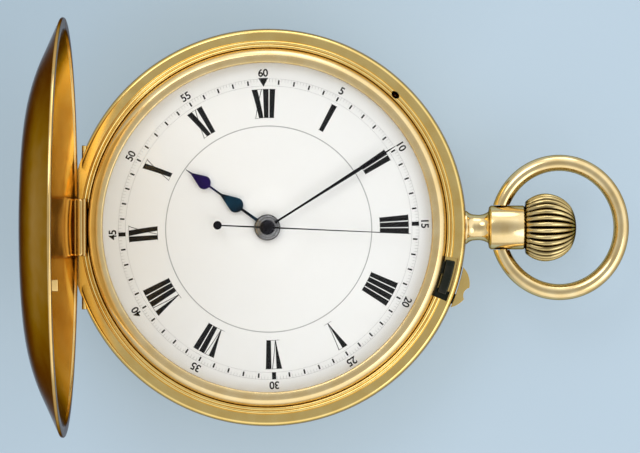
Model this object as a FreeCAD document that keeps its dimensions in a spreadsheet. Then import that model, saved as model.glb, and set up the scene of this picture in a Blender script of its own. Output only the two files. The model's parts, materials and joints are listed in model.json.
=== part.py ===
"""A gold hunter-case watch with centre seconds, lying dial up with its front cover open.

Millimetres. The origin is the centre of the back cover's flat rest, +Z points at the dial,
+X along the pendant at 3 o'clock and +Y at 12 o'clock. The sheet "sizes" holds the driving
sizes as plain numbers, and the sheet "places" holds what follows from them.
"""
import FreeCAD, Part
import math
import os
import re
import Sketcher
from FreeCAD import Placement, Rotation, Vector

doc = FreeCAD.newDocument("hunter_watch")

SIZES = {
    # case, from the rest upwards
    "case_radius": 27.0,          # widest, at the middle of the band
    "edge_inset": 0.3,            # band at its top and bottom edges
    "back_height": 5.2,
    "middle_height": 6.4,
    "back_edge": 0.9,             # upright edge of the back cover
    "rest_radius": 8.5,           # flat that the watch lies on
    "shell_wall": 0.5,
    "joint_gap": 0.03,            # between covers and the band when shut
    "band_wall": 4.4,             # down to the bore that holds the movement and the dial
    "bead_inset": 1.55,
    "bead_width": 0.9,
    "bead_height": 0.3,
    "bezel_seat_depth": 0.9,      # below the front edge of the band
    "hollow_wall": 2.4,           # outside the hollow in the band for the case springs
    "band_floor": 1.8,            # wall below that hollow
    "band_roof": 0.7,             # wall above it
    # front cover
    "cover_depth": 5.6,
    "cover_cone_width": 4.3,
    "cover_cone_depth": 2.35,
    "cover_crown_radius": 12.5,
    "cover_crown_depth": 0.6,
    "cover_bend_radius": 26.0,
    "cover_lip": 0.12,
    # hinges
    "front_hinge_inset": 2.2,
    "front_hinge_drop": 0.8,
    "front_knuckle": 0.6,
    "front_hinge_half": 11.0,
    "front_knuckle_half": 3.85,
    "pin_radius": 0.25,
    "pin_clearance": 0.04,
    "knuckle_gap": 0.05,
    "back_hinge_inset": 0.4,
    "back_hinge_drop": 0.55,
    "back_knuckle": 0.5,
    "back_hinge_half": 4.0,
    "back_knuckle_half": 1.6,
    "dust_hinge_offset": 0.55,
    "dust_hinge_drop": 0.45,
    "dust_knuckle": 0.4,
    "dust_hinge_half": 3.0,
    "dust_knuckle_half": 1.2,
    "dust_inset": 2.8,
    "dust_wall": 0.4,
    "dust_centre_height": 1.9,
    "dust_edge_height": 3.9,
    # bezel and glass
    "bezel_gap": 0.15,            # inside the bead
    "bezel_width": 1.9,
    "bezel_wall": 1.5,            # outside the glass
    "bezel_height": 1.0,          # crest above the front edge of the band
    "glass_wall": 0.7,
    "glass_bevel": 0.9,
    "glass_side": 0.8,
    "glass_slope": 0.8,
    "glass_dome": 1.2,
    # dial and hands
    "dial_gap": 0.1,
    "dial_thickness": 0.7,
    "dial_drop": 0.6,             # top of the dial below the front edge of the band
    "dial_hole_radius": 1.3,
    "foot_radius": 0.4,
    "foot_inset": 2.2,
    "hand_thickness": 0.15,
    "hand_step": 0.5,             # from one hand up to the next
    "hour_boss": 1.66,
    "hour_blade": 1.0,            # half the width of its broadest swelling
    "hour_hand_angle": 144.6,
    "minute_hand_angle": 31.7,
    "seconds_hand_angle": 357.5,
    "minute_boss": 1.3,
    "seconds_boss": 1.08,
    # movement
    "drawn_bore": 22.6,           # bore for which the plan of the movement is drawn
    "motion_space": 1.2,          # between the dial and the pillar plate
    "plate_thickness": 1.3,
    "train_space": 2.5,           # between the plates
    "bridge_thickness": 1.0,
    "back_wheel_thickness": 0.5,  # winding wheels on the back of the upper plate
    "back_wheel_gap": 0.1,
    "plate_clearance": 0.05,
    "plate_rim": 1.1,
    "upper_plate_inset": 1.4,
    "pillar_radius": 1.0,
    "pillar_inset": 3.2,
    "screw_radius": 0.5,
    "screw_head_radius": 0.9,
    "screw_head_height": 0.35,
    "case_screw_inset": 0.7,
    "case_screw_head": 1.2,
    "arbor_radius": 0.28,
    "pivot_radius": 0.14,
    "running_clearance": 0.03,
    "jewel_radius": 0.75,
    # going train
    "second_angle": 100.0,
    "barrel_height": 1.5,
    "barrel_arbor": 0.9,
    "wheel_thickness": 0.22,
    "pinion_height": 0.55,
    "escape_angle": 260.0,
    "balance_rim": 0.8,
    "balance_screw": 0.3,
    "balance_gap": 0.3,
    "cock_foot_turn": 40.0,
    "cock_half_width": 1.7,
    # motion work
    "cannon_pipe": 0.68,
    "hour_pipe": 1.05,
    "centre_tube": 0.45,
    "stud_radius": 0.3,
    # winding
    "winding_tip": 1.6,
    "stem_radius": 0.6,
    "stem_square": 0.8,
    # pendant, crown and bow
    "pendant_socket": 2.0,
    "pendant_root": 0.6,          # outside the hollow in the band
    "pendant_flare": 2.25,
    "pendant_neck": 1.75,
    "neck_reach": 2.05,           # outside the band
    "head_reach": 3.0,
    "head_length": 4.9,
    "head_radius": 2.98,
    "crown_gap": 0.05,
    "crown_length": 6.9,
    "crown_radius": 4.6,
    "crown_skirt_radius": 3.6,
    "crown_push": 0.5,
    "crown_ribs": 30,
    "crown_belly": 2.65,          # from the crown's foot to its widest ring
    "crown_shoulder_radius": 2.85,
    "crown_shoulder_drop": 0.75,
    "flute_depth": 0.4,
    "flute_share": 0.4,           # of the pitch from rib to rib
    "bow_reach": 7.55,            # from its pivots to its centre
    "bow_half_x": 8.39,
    "bow_half_y": 8.76,
    "bow_wire": 1.09,
    "bow_pivot_inset": 2.0,
    "bow_eye": 1.35,
    # catch and stop slide
    "catch_inset": 0.25,          # outside the foot of the bead
    "catch_width": 1.25,
    "catch_room_inner": 0.3,
    "catch_room_outer": 0.35,
    "catch_middle": -15.8,
    "catch_window_half": 6.6,
    "catch_half": 5.0,
    "spring_inset": 0.9,
    "spring_thickness": 0.6,
    "spring_height": 2.0,
    "spring_start": -75.0,
    "lift_start": 100.0,
    "lift_end": 174.0,
    "slide_height": 0.6,
    "slide_middle": -21.0,
    "slide_travel": 3.0,
    "slide_half": 1.5,
    "thumb_reach": 1.5,
    "thumb_middle": -17.5,
    "thumb_half": 6.0,
}

# plan sizes of the hands and the movement, which the place "calibre" fits to the bore
DRAWN = {
    "hour_reach": 13.47,
    "minute_reach": 20.5,
    "seconds_reach": 19.3,
    "seconds_tail": 6.7,
    "second_distance": 6.6,
    "barrel_distance": 13.3,
    "barrel_pitch": 8.0,
    "second_pitch": 6.0,
    "third_pitch": 4.5,
    "fourth_pitch": 4.4,
    "escape_radius": 2.6,
    "balance_distance": 13.3,
    "balance_radius": 7.25,
    "cock_foot_distance": 18.6,
    "stop_arm": 6.0,
    "motion_distance": 3.36,
    "crown_wheel_x": 14.8,
    "crown_spur_pitch": 3.2,
    "ratchet_pitch": 4.0,
    "contrate_radius": 2.8,
    "click_reach": 2.6,
}

PLACES = {
    # radii, from the case radius inwards
    "edge_radius": "case_radius - edge_inset",
    "bead_outer": "edge_radius - bead_inset",
    "bead_inner": "bead_outer - bead_width",
    "band_radius": "edge_radius - hollow_wall",
    "bore_radius": "case_radius - band_wall",
    "calibre": "bore_radius / drawn_bore",
    "cover_cone_radius": "case_radius - cover_cone_width",
    "front_hinge_x": "case_radius - front_hinge_inset",
    "back_hinge_x": "case_radius - back_hinge_inset",
    "dust_radius": "case_radius - dust_inset",
    "dust_hinge_x": "dust_radius + dust_hinge_offset",
    "bezel_radius": "bead_inner - bezel_gap",
    "bezel_lip_radius": "bezel_radius - bezel_width",
    "glass_radius": "bezel_radius - bezel_wall",
    "dial_radius": "bore_radius - dial_gap",
    "foot_circle": "dial_radius - foot_inset",
    "upper_plate_radius": "bore_radius - upper_plate_inset",
    "pillar_circle": "bore_radius - pillar_inset",
    "case_screw_circle": "bore_radius - case_screw_inset",
    "catch_inner": "bead_inner + catch_inset",
    "catch_outer": "catch_inner + catch_width",
    "catch_window_inner": "catch_inner - catch_room_inner",
    "catch_window_outer": "catch_outer + catch_room_outer",
    "spring_inner": "band_radius - spring_inset",
    "spring_outer": "spring_inner + spring_thickness",
    # along the pendant
    "pendant_inner_end": "band_radius + pendant_root",
    "neck_x": "case_radius + neck_reach",
    "head_start": "case_radius + head_reach",
    "head_end": "head_start + head_length",
    "bow_pivot_x": "head_start + bow_pivot_inset",
    "bow_centre_x": "bow_pivot_x + bow_reach",
    "thumb_radius": "case_radius + thumb_reach",
    **{name: f"{drawn} * calibre" for name, drawn in DRAWN.items()},
    # levels
    "rim_height": "back_height + middle_height",
    "stem_height": "back_height + middle_height / 2",
    "dial_top": "rim_height - dial_drop",
    "dial_bottom": "dial_top - dial_thickness",
    "plate_top": "dial_bottom - motion_space",
    "plate_bottom": "plate_top - plate_thickness",
    "upper_top": "plate_bottom - train_space",
    "upper_bottom": "upper_top - bridge_thickness",
    "back_wheel_top": "upper_bottom - back_wheel_gap",
    "back_wheel_bottom": "back_wheel_top - back_wheel_thickness",
    "band_bottom": "back_height + band_floor",
    "seat_height": "rim_height - bezel_seat_depth",
    "band_top": "seat_height - band_roof",
    # case
    "band_bulge": "(pow(middle_height / 2; 2) + pow(case_radius - edge_radius; 2))"
                  " / (2 * (case_radius - edge_radius))",
    "back_side": "back_height - back_edge",
    "back_arc": "(pow(edge_radius - rest_radius; 2) + pow(back_side; 2)) / (2 * back_side)",
    "back_inner_radius": "edge_radius - shell_wall - 0.1",
    "back_inner_side": "back_side + shell_wall / 2",
    "back_inner_arc": "(pow(back_inner_radius - rest_radius; 2)"
                      " + pow(back_inner_side - shell_wall; 2))"
                      " / (2 * (back_inner_side - shell_wall))",
    "dust_rise": "dust_edge_height - dust_centre_height",
    "dust_arc": "(pow(dust_radius; 2) + pow(dust_rise; 2)) / (2 * dust_rise)",
    "dust_inner_radius": "dust_radius - dust_wall",
    "dust_inner_arc": "(pow(dust_inner_radius; 2) + pow(dust_rise; 2)) / (2 * dust_rise)",
    "dust_top": "back_height - 0.1",
    # front cover, measured in its shut place
    "cover_base": "rim_height + 0.05",
    "cone_angle": "atan((cover_cone_depth - cover_lip) / (case_radius - cover_cone_radius)) / 1deg",
    "cover_arc": "(pow(cover_crown_radius; 2) + pow(cover_crown_depth; 2)) / (2 * cover_crown_depth)",
    "cover_shoulder": "cover_depth - cover_crown_depth",
    "cover_cone_inner": "cover_cone_radius - shell_wall * sin(cone_angle)",
    "cover_cone_inner_depth": "cover_cone_depth - shell_wall * cos(cone_angle)",
    "cover_rim_inner": "cover_cone_inner + cover_cone_inner_depth / tan(cone_angle)",
    "front_hinge_height": "rim_height - front_hinge_drop",
    "chord_x": "front_hinge_x + 0.2",
    "chord_floor": "front_hinge_height - (case_radius - front_hinge_x) - 0.3",
    "back_hinge_height": "back_height - back_hinge_drop",
    "dust_hinge_height": "back_height - dust_hinge_drop",
    # bezel and glass
    "bezel_lip": "dial_top + 0.1",
    "bezel_top": "rim_height + bezel_height",
    "glass_seat": "bezel_lip + 0.6",
    "glass_shoulder": "glass_seat + glass_side",
    "glass_crest": "glass_shoulder + glass_slope",
    "glass_bevel_radius": "glass_radius - glass_bevel",
    "glass_arc": "(pow(glass_bevel_radius; 2) + pow(glass_dome; 2)) / (2 * glass_dome)",
    "glass_inner_radius": "glass_bevel_radius - glass_wall / 2",
    "glass_inner_arc": "(pow(glass_inner_radius; 2) + pow(glass_dome; 2)) / (2 * glass_dome)",
    # hands
    "hour_level": "dial_top + 0.5",
    "minute_level": "hour_level + hand_step",
    "seconds_level": "minute_level + hand_step",
    # trains: pitch radii of the pinions, centre distances and angles about the centre
    "second_pinion_pitch": "barrel_pitch / 8",
    "third_pinion_pitch": "second_pitch / 8",
    "fourth_pinion_pitch": "third_pitch / 7.5",
    "escape_pinion_pitch": "fourth_pitch / 10",
    "barrel_reach": "barrel_pitch + second_pinion_pitch",
    "third_reach": "second_pitch + third_pinion_pitch",
    "third_radius": "third_pitch + fourth_pinion_pitch",
    "escape_distance": "fourth_pitch + escape_pinion_pitch",
    "barrel_angle": "second_angle - acos((pow(barrel_distance; 2) + pow(second_distance; 2)"
                    " - pow(barrel_reach; 2)) / (2 * barrel_distance * second_distance)) / 1deg",
    "third_angle": "second_angle + acos((pow(third_radius; 2) + pow(second_distance; 2)"
                   " - pow(third_reach; 2)) / (2 * third_radius * second_distance)) / 1deg",
    "minute_offset_angle": "second_angle"
                           " + acos(second_distance / (2 * motion_distance)) / 1deg",
    "barrel_x": "barrel_distance * cos(barrel_angle)",
    "barrel_y": "barrel_distance * sin(barrel_angle)",
    "second_x": "second_distance * cos(second_angle)",
    "second_y": "second_distance * sin(second_angle)",
    "third_x": "third_radius * cos(third_angle)",
    "third_y": "third_radius * sin(third_angle)",
    "escape_x": "escape_distance * cos(escape_angle)",
    "escape_y": "escape_distance * sin(escape_angle)",
    "lever_distance": "escape_distance + escape_radius * 1.18",
    "lever_x": "lever_distance * cos(escape_angle)",
    "lever_y": "lever_distance * sin(escape_angle)",
    "balance_x": "balance_distance * cos(escape_angle)",
    "balance_y": "balance_distance * sin(escape_angle)",
    "minute_x": "motion_distance * cos(minute_offset_angle)",
    "minute_y": "motion_distance * sin(minute_offset_angle)",
    "cannon_pitch": "motion_distance / 4",
    "minute_wheel_pitch": "motion_distance * 3 / 4",
    "minute_pinion_pitch": "motion_distance / 5",
    "hour_wheel_pitch": "motion_distance * 4 / 5",
    "balance_cutout": "balance_radius + balance_screw + balance_gap",
    # winding train
    "ratchet_distance": "sqrt(pow(barrel_x - crown_wheel_x; 2) + pow(barrel_y; 2))",
    "ratchet_direction": "180 - asin(barrel_y / ratchet_distance) / 1deg",
    "transmission_reach": "crown_spur_pitch + ratchet_pitch",
    "transmission_angle": "ratchet_direction - acos((pow(ratchet_distance; 2)"
                          " + pow(transmission_reach; 2) - pow(2 * ratchet_pitch; 2))"
                          " / (2 * ratchet_distance * transmission_reach)) / 1deg",
    "transmission_x": "crown_wheel_x + transmission_reach * cos(transmission_angle)",
    "transmission_y": "transmission_reach * sin(transmission_angle)",
    "winding_x": "crown_wheel_x + contrate_radius",
    "click_nose_radius": "ratchet_pitch + 0.8 * 2 * ratchet_pitch / 40 + 0.5",
    "click_nose_x": "barrel_x + click_nose_radius * cos(barrel_angle + 95)",
    "click_nose_y": "barrel_y + click_nose_radius * sin(barrel_angle + 95)",
    "click_x": "click_nose_x + click_reach * cos(barrel_angle + 165)",
    "click_y": "click_nose_y + click_reach * sin(barrel_angle + 165)",
    "slide_floor": "band_top - slide_height - knuckle_gap",
    "stem_collar": "spring_outer + joint_gap + crown_push / 2",
    "thumb_chord": "(case_radius + 0.1) * sin(thumb_half)",
    "thumb_rise": "thumb_radius - (case_radius + 0.1) * cos(thumb_half)",
    "thumb_arc": "(pow(thumb_chord; 2) + pow(thumb_rise; 2)) / (2 * thumb_rise)",
    "spring_floor": "stem_height - spring_height / 2",
    "crown_start": "head_end + crown_gap",
    "crown_floor": "crown_start + crown_push + 0.15",
    "crown_end": "crown_start + crown_length",
    "crown_end_arc": "(pow(crown_shoulder_radius; 2) + pow(crown_shoulder_drop; 2))"
                     " / (2 * crown_shoulder_drop)",
    "crown_upper_rise": "crown_length - crown_belly - crown_shoulder_drop",
    "crown_upper_arc": "(pow(crown_radius - crown_shoulder_radius; 2) + pow(crown_upper_rise; 2))"
                       " / (2 * (crown_radius - crown_shoulder_radius))",
    "crown_lower_arc": "(pow(crown_radius - crown_skirt_radius; 2) + pow(crown_belly; 2))"
                       " / (2 * (crown_radius - crown_skirt_radius))",
    "flute_bottom": "crown_start + flute_depth",
    "flute_top": "crown_end - crown_shoulder_drop - 0.25",
    "flute_bottom_radius": "crown_radius - crown_lower_arc"
                           " + sqrt(pow(crown_lower_arc - flute_depth; 2)"
                           " - pow(crown_start + crown_belly - flute_bottom; 2))",
    "flute_top_radius": "crown_radius - crown_upper_arc"
                        " + sqrt(pow(crown_upper_arc - flute_depth; 2)"
                        " - pow(flute_top - crown_start - crown_belly; 2))",
    "bow_gap_angle": "asin((bow_centre_x - bow_pivot_x) / bow_half_x) / 1deg",
    # levels between the plates
    "barrel_floor": "upper_top + 0.15",
    "barrel_teeth_top": "barrel_floor + 0.4",
    "barrel_top": "barrel_floor + barrel_height",
    "second_level": "barrel_top + 0.25",
    "third_level": "upper_top + 1.2",
    "fourth_level": "upper_top + 0.4",
    "escape_level": "plate_bottom - 0.85",
    "balance_bottom": "upper_top + 0.15",
    "balance_top": "balance_bottom + balance_rim",
    "roller_level": "balance_top + 0.25",
    "contrate_floor": "stem_height - winding_tip - 0.15",
    # stop lever on the dial side of the pillar plate
    "whip_x": "balance_x + (balance_cutout + 0.5) * cos(45)",
    "whip_y": "balance_y + (balance_cutout + 0.5) * sin(45)",
    "stop_pivot_x": "whip_x + stop_arm * cos(45)",
    "stop_pivot_y": "whip_y - stop_arm * sin(45)",
    "tongue_radius": "bore_radius - plate_rim - 0.6",
    "tongue_x": "tongue_radius * cos(slide_middle)",
    "tongue_y": "tongue_radius * sin(slide_middle)",
    "stop_reach_angle": "atan2(tongue_y - stop_pivot_y; tongue_x - stop_pivot_x) / 1deg",
    "cock_foot_x": "cock_foot_distance * cos(escape_angle + cock_foot_turn)",
    "cock_foot_y": "cock_foot_distance * sin(escape_angle + cock_foot_turn)",
    "cock_angle": "atan2(cock_foot_y - balance_y; cock_foot_x - balance_x) / 1deg",
}

TOOTH_COUNTS = {
    "barrel": 80, "second_pinion": 10, "second": 80, "third_pinion": 10, "third": 75,
    "fourth_pinion": 10, "fourth": 80, "escape_pinion": 8, "escape": 15,
    "cannon": 12, "minute_wheel": 36, "minute_pinion": 10, "hour_wheel": 40,
    "winding": 12, "contrate": 24, "crown_spur": 32, "transmission": 40, "ratchet": 40,
}

PILLAR_ANGLES = (20.0, 140.0, 205.0, 335.0)
CASE_SCREW_ANGLES = (45.0, 135.0, 225.0)
DIAL_FOOT_ANGLES = (60.0, 165.0, 250.0)

parts = {}                        # node name to the object that holds its finished shape


# ---------------------------------------------------------------- sheets and formulas

def filled_sheet(name, cells, as_formula):
    """A spreadsheet with one aliased cell in column B for each entry."""
    sheet = doc.addObject("Spreadsheet::Sheet", name)
    for row, (alias, content) in enumerate(cells.items(), 1):
        sheet.set(f"A{row}", alias)
        sheet.set(f"B{row}", as_formula(content))
        sheet.setAlias(f"B{row}", alias)
    return sheet


def bound(formula):
    """The formula with each size or place led by the name of the sheet that holds it."""
    def led(found):
        word = found.group(0)
        if word in SIZES:
            return "sizes." + word
        if word in PLACES:
            return "places." + word
        return word
    return re.sub(r"[a-z][a-z_]*", led, str(formula))


def worth(formula):
    """The number that a formula of sizes and places comes to."""
    return float(places.evalExpression(bound(formula)))


sizes = filled_sheet("sizes", SIZES, str)
doc.recompute()
places = filled_sheet("places", PLACES, lambda formula: "=" + bound(formula))
doc.recompute()


# ---------------------------------------------------------------- sketches and features

def circle(x, y, radius):
    """A loop that is one circle."""
    return {"centre": (x, y), "radius": radius}


def sector(inner, outer, start, end):
    """A loop round a ring's sector between two angles in degrees."""
    return [
        (f"({inner}) * cos({start})", f"({inner}) * sin({start})"),
        (f"({outer}) * cos({start})", f"({outer}) * sin({start})", outer),
        (f"({outer}) * cos({end})", f"({outer}) * sin({end})"),
        (f"({inner}) * cos({end})", f"({inner}) * sin({end})", f"-({inner})"),
    ]


def rectangle(x_low, y_low, x_high, y_high):
    """A loop round an upright rectangle."""
    return [(x_low, y_low), (x_high, y_low), (x_high, y_high), (x_low, y_high)]


def pinned(sketch, edge, point, x, y):
    """Hold one point of a sketch at two formulas."""
    for kind, formula in (("DistanceX", x), ("DistanceY", y)):
        held = Sketcher.Constraint(kind, -1, 1, edge, point, worth(formula))
        index = sketch.addConstraint(held)
        sketch.setExpression(f"Constraints[{index}]", bound(formula))


def sized(sketch, edge, radius):
    """Hold one arc's or circle's radius at a formula."""
    index = sketch.addConstraint(Sketcher.Constraint("Radius", edge, worth(radius)))
    sketch.setExpression(f"Constraints[{index}]", bound(radius))


def arc_between(start, end, radius):
    """The shorter arc from start to end, turning left for a positive radius."""
    chord = end - start
    side = Vector(-chord.y, chord.x, 0).normalize() * math.copysign(1, radius)
    rise = math.sqrt(max(radius ** 2 - (chord.Length / 2) ** 2, 0))
    centre = (start + end) / 2 + side * rise
    first, last = (start, end) if radius > 0 else (end, start)
    angles = [math.atan2(p.y - centre.y, p.x - centre.x) for p in (first, last)]
    whole = Part.Circle(centre, Vector(0, 0, 1), abs(radius))
    return Part.ArcOfCircle(whole, angles[0], angles[1])


def draw_loop(sketch, loop):
    """Draw one closed loop. A point's third entry is the radius of the arc that leaves it."""
    if isinstance(loop, dict):
        x, y = loop["centre"]
        ring = Part.Circle(Vector(worth(x), worth(y), 0), Vector(0, 0, 1), worth(loop["radius"]))
        edge = sketch.addGeometry(ring, False)
        pinned(sketch, edge, 3, x, y)
        sized(sketch, edge, loop["radius"])
        return
    points = [Vector(worth(entry[0]), worth(entry[1]), 0) for entry in loop]
    ends = []
    for index, entry in enumerate(loop):
        start, end = points[index], points[(index + 1) % len(points)]
        radius = worth(entry[2]) if len(entry) > 2 else 0
        curve = arc_between(start, end, radius) if radius else Part.LineSegment(start, end)
        edge = sketch.addGeometry(curve, False)
        ends.append((edge, 1, 2) if radius >= 0 else (edge, 2, 1))
    for index, entry in enumerate(loop):
        edge, first, last = ends[index]
        after, after_first, _ = ends[(index + 1) % len(loop)]
        sketch.addConstraint(Sketcher.Constraint("Coincident", edge, last, after, after_first))
        pinned(sketch, edge, first, entry[0], entry[1])
        if len(entry) > 2:
            size = entry[2][1:] if entry[2].startswith("-") else entry[2]
            sized(sketch, edge, size)


def sketched(body, name, loops, plane, offset="0"):
    """A sketch on one of the body's own planes, moved along the plane's normal."""
    sketch = body.newObject("Sketcher::SketchObject", name)
    support = [face for face in body.Origin.OriginFeatures if face.Role == plane][0]
    sketch.AttachmentSupport = [(support, "")]
    sketch.MapMode = "FlatFace"
    sketch.setExpression(".AttachmentOffset.Base.z", bound(offset))
    for loop in loops:
        draw_loop(sketch, loop)
    return sketch


def new_body(label):
    """An empty PartDesign body that becomes the node of that name."""
    body = doc.addObject("PartDesign::Body", label)
    body.Label = label
    parts[label] = body
    return body


def turn(body, name, loop, cut=False):
    """Revolve a loop of (radius, height) points about Z, as metal or as a groove."""
    kind = "PartDesign::Groove" if cut else "PartDesign::Revolution"
    sketch = sketched(body, name + "_section", [loop], "XZ_Plane")
    feature = body.newObject(kind, name)
    feature.Profile = sketch
    feature.ReferenceAxis = (sketch, ["V_Axis"])
    feature.Angle = 360
    doc.recompute()
    return feature


def raise_up(body, name, loops, low, high):
    """Pad loops drawn in plan from one height up to another."""
    sketch = sketched(body, name + "_plan", loops, "XY_Plane", low)
    feature = body.newObject("PartDesign::Pad", name)
    feature.Profile = sketch
    feature.setExpression("Length", bound(f"({high}) - ({low})"))
    doc.recompute()
    return feature


def cut_down(body, name, loops, low, high):
    """Cut loops drawn in plan from one height down to another."""
    sketch = sketched(body, name + "_plan", loops, "XY_Plane", high)
    feature = body.newObject("PartDesign::Pocket", name)
    feature.Profile = sketch
    feature.setExpression("Length", bound(f"({high}) - ({low})"))
    doc.recompute()
    return feature


def capsule(x, y, end_x, end_y, half):
    """A loop round a bar with rounded ends between two points."""
    angle = f"(atan2(({end_y}) - ({y}); ({end_x}) - ({x})) / 1deg)"
    across_x, across_y = f"({half}) * sin{angle}", f"({half}) * cos{angle}"
    end = f"({half}) * 1.03"
    return [
        (f"({x}) + {across_x}", f"({y}) - {across_y}"),
        (f"({end_x}) + {across_x}", f"({end_y}) - {across_y}", end),
        (f"({end_x}) - {across_x}", f"({end_y}) + {across_y}"),
        (f"({x}) - {across_x}", f"({y}) + {across_y}", end),
    ]


def pad_across(body, name, loops, length, offset="0"):
    """Pad loops drawn in (X, Z) evenly to both sides of the plane at Y = offset."""
    sketch = sketched(body, name + "_side", loops, "XZ_Plane", f"-({offset})")
    feature = body.newObject("PartDesign::Pad", name)
    feature.Profile = sketch
    feature.Midplane = True
    feature.setExpression("Length", bound(length))
    doc.recompute()
    return feature


def bore_across(body, name, loops, length):
    """Cut loops drawn in (X, Z) evenly to both sides of Y = 0."""
    sketch = sketched(body, name + "_side", loops, "XZ_Plane")
    feature = body.newObject("PartDesign::Pocket", name)
    feature.Profile = sketch
    feature.Midplane = True
    feature.setExpression("Length", bound(length))
    doc.recompute()
    return feature


def bore_outwards(body, name, loops, start, end):
    """Cut loops drawn in (Y, Z) from X = start to X = end."""
    sketch = sketched(body, name + "_front", loops, "YZ_Plane", start)
    feature = body.newObject("PartDesign::Pocket", name)
    feature.Profile = sketch
    feature.Reversed = True
    feature.setExpression("Length", bound(f"({end}) - ({start})"))
    doc.recompute()
    return feature


def plain_turned(label, loop):
    """A body that is one revolved section."""
    body = new_body(label)
    turn(body, label + "_turned", loop)
    return body


def lay_along_x(body, height):
    """Turn a body whose axis is Z so that it points along +X at the given height."""
    body.Placement = Placement(Vector(0, 0, worth(height)), Rotation(Vector(0, 1, 0), 90))
    body.setExpression(".Placement.Base.z", bound(height))


# ---------------------------------------------------------------- case

def band_of_case():
    """The case middle: band, front shoulder, bead, bezel seat, spring hollow, hinge knuckles."""
    body = new_body("case_middle")
    turn(body, "band", [
        ("bore_radius", "back_height"),
        ("edge_radius", "back_height", "band_bulge"),
        ("edge_radius", "rim_height"),
        ("bead_outer", "rim_height"),
        ("bead_outer - 0.1", "rim_height + bead_height"),
        ("bead_inner", "rim_height + bead_height"),
        ("bead_inner - 0.1", "rim_height"),
        ("bead_inner - 0.1", "seat_height"),
        ("bore_radius", "seat_height"),
        ("bore_radius", "band_top"),
        ("band_radius", "band_top"),
        ("band_radius", "band_bottom"),
        ("bore_radius", "band_bottom"),
    ])
    outside = "-(case_radius + 2)"
    top = "rim_height + bead_height + 1"
    cut_down(body, "chord", [rectangle(outside, "-case_radius", "-chord_x", "case_radius")],
             "chord_floor", top)
    hinge = circle("-front_hinge_x", "front_hinge_height", "front_knuckle")
    pad_across(body, "front_barrel", [hinge], "2 * front_hinge_half")
    slot_half = "(front_knuckle_half + knuckle_gap)"
    slot_edge = "-(front_hinge_x - front_knuckle - knuckle_gap)"
    cut_down(body, "front_knuckle_slot",
             [rectangle(outside, f"-{slot_half}", slot_edge, slot_half)],
             "front_hinge_height - front_hinge_drop - knuckle_gap", top)
    bore_across(body, "front_pin_hole",
                [circle("-front_hinge_x", "front_hinge_height", "pin_radius")],
                "2 * case_radius")
    add_lower_knuckles(body, "back")
    add_lower_knuckles(body, "dust")
    flange = "(pendant_flare + pin_clearance)"
    bore_outwards(body, "pendant_hole", [circle("0", "stem_height", "pendant_socket")],
                  "bore_radius - 1", "case_radius + 1")
    bore_outwards(body, "pendant_seat", [circle("0", "stem_height", flange)],
                  "edge_radius - 0.2", "case_radius + 1")
    window = sector("catch_window_inner", "catch_window_outer",
                    "catch_middle - catch_window_half", "catch_middle + catch_window_half")
    cut_down(body, "catch_window", [window], "slide_floor - running_clearance", top)
    slot = sector("bore_radius - 1", "case_radius + 1",
                  "slide_middle - slide_half - slide_travel - 0.4",
                  "slide_middle + slide_half + slide_travel + 0.4")
    cut_down(body, "slide_slot", [slot], "slide_floor - running_clearance",
             "slide_floor + slide_height + running_clearance")


def add_lower_knuckles(body, name):
    """The band's two outer knuckles of a hinge below its back edge."""
    axis, height = f"{name}_hinge_x", f"{name}_hinge_height"
    radius, half = f"{name}_knuckle", f"{name}_hinge_half"
    middle = f"({name}_knuckle_half + knuckle_gap)"
    for side, sign in (("upper", ""), ("lower", "-")):
        offset = f"{sign}(({half} + {middle}) / 2)"
        length = f"{half} - {middle}"
        barrel = circle(f"-{axis}", height, radius)
        pad_across(body, f"{name}_barrel_{side}", [barrel], length, offset)
        ear = rectangle(f"-{axis} - {radius}", height, f"-{axis} + {radius}", "back_height + 0.1")
        pad_across(body, f"{name}_ear_{side}", [ear], length, offset)
    bore_across(body, f"{name}_pin_hole", [circle(f"-{axis}", height, "pin_radius")],
                "2 * case_radius")


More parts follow.
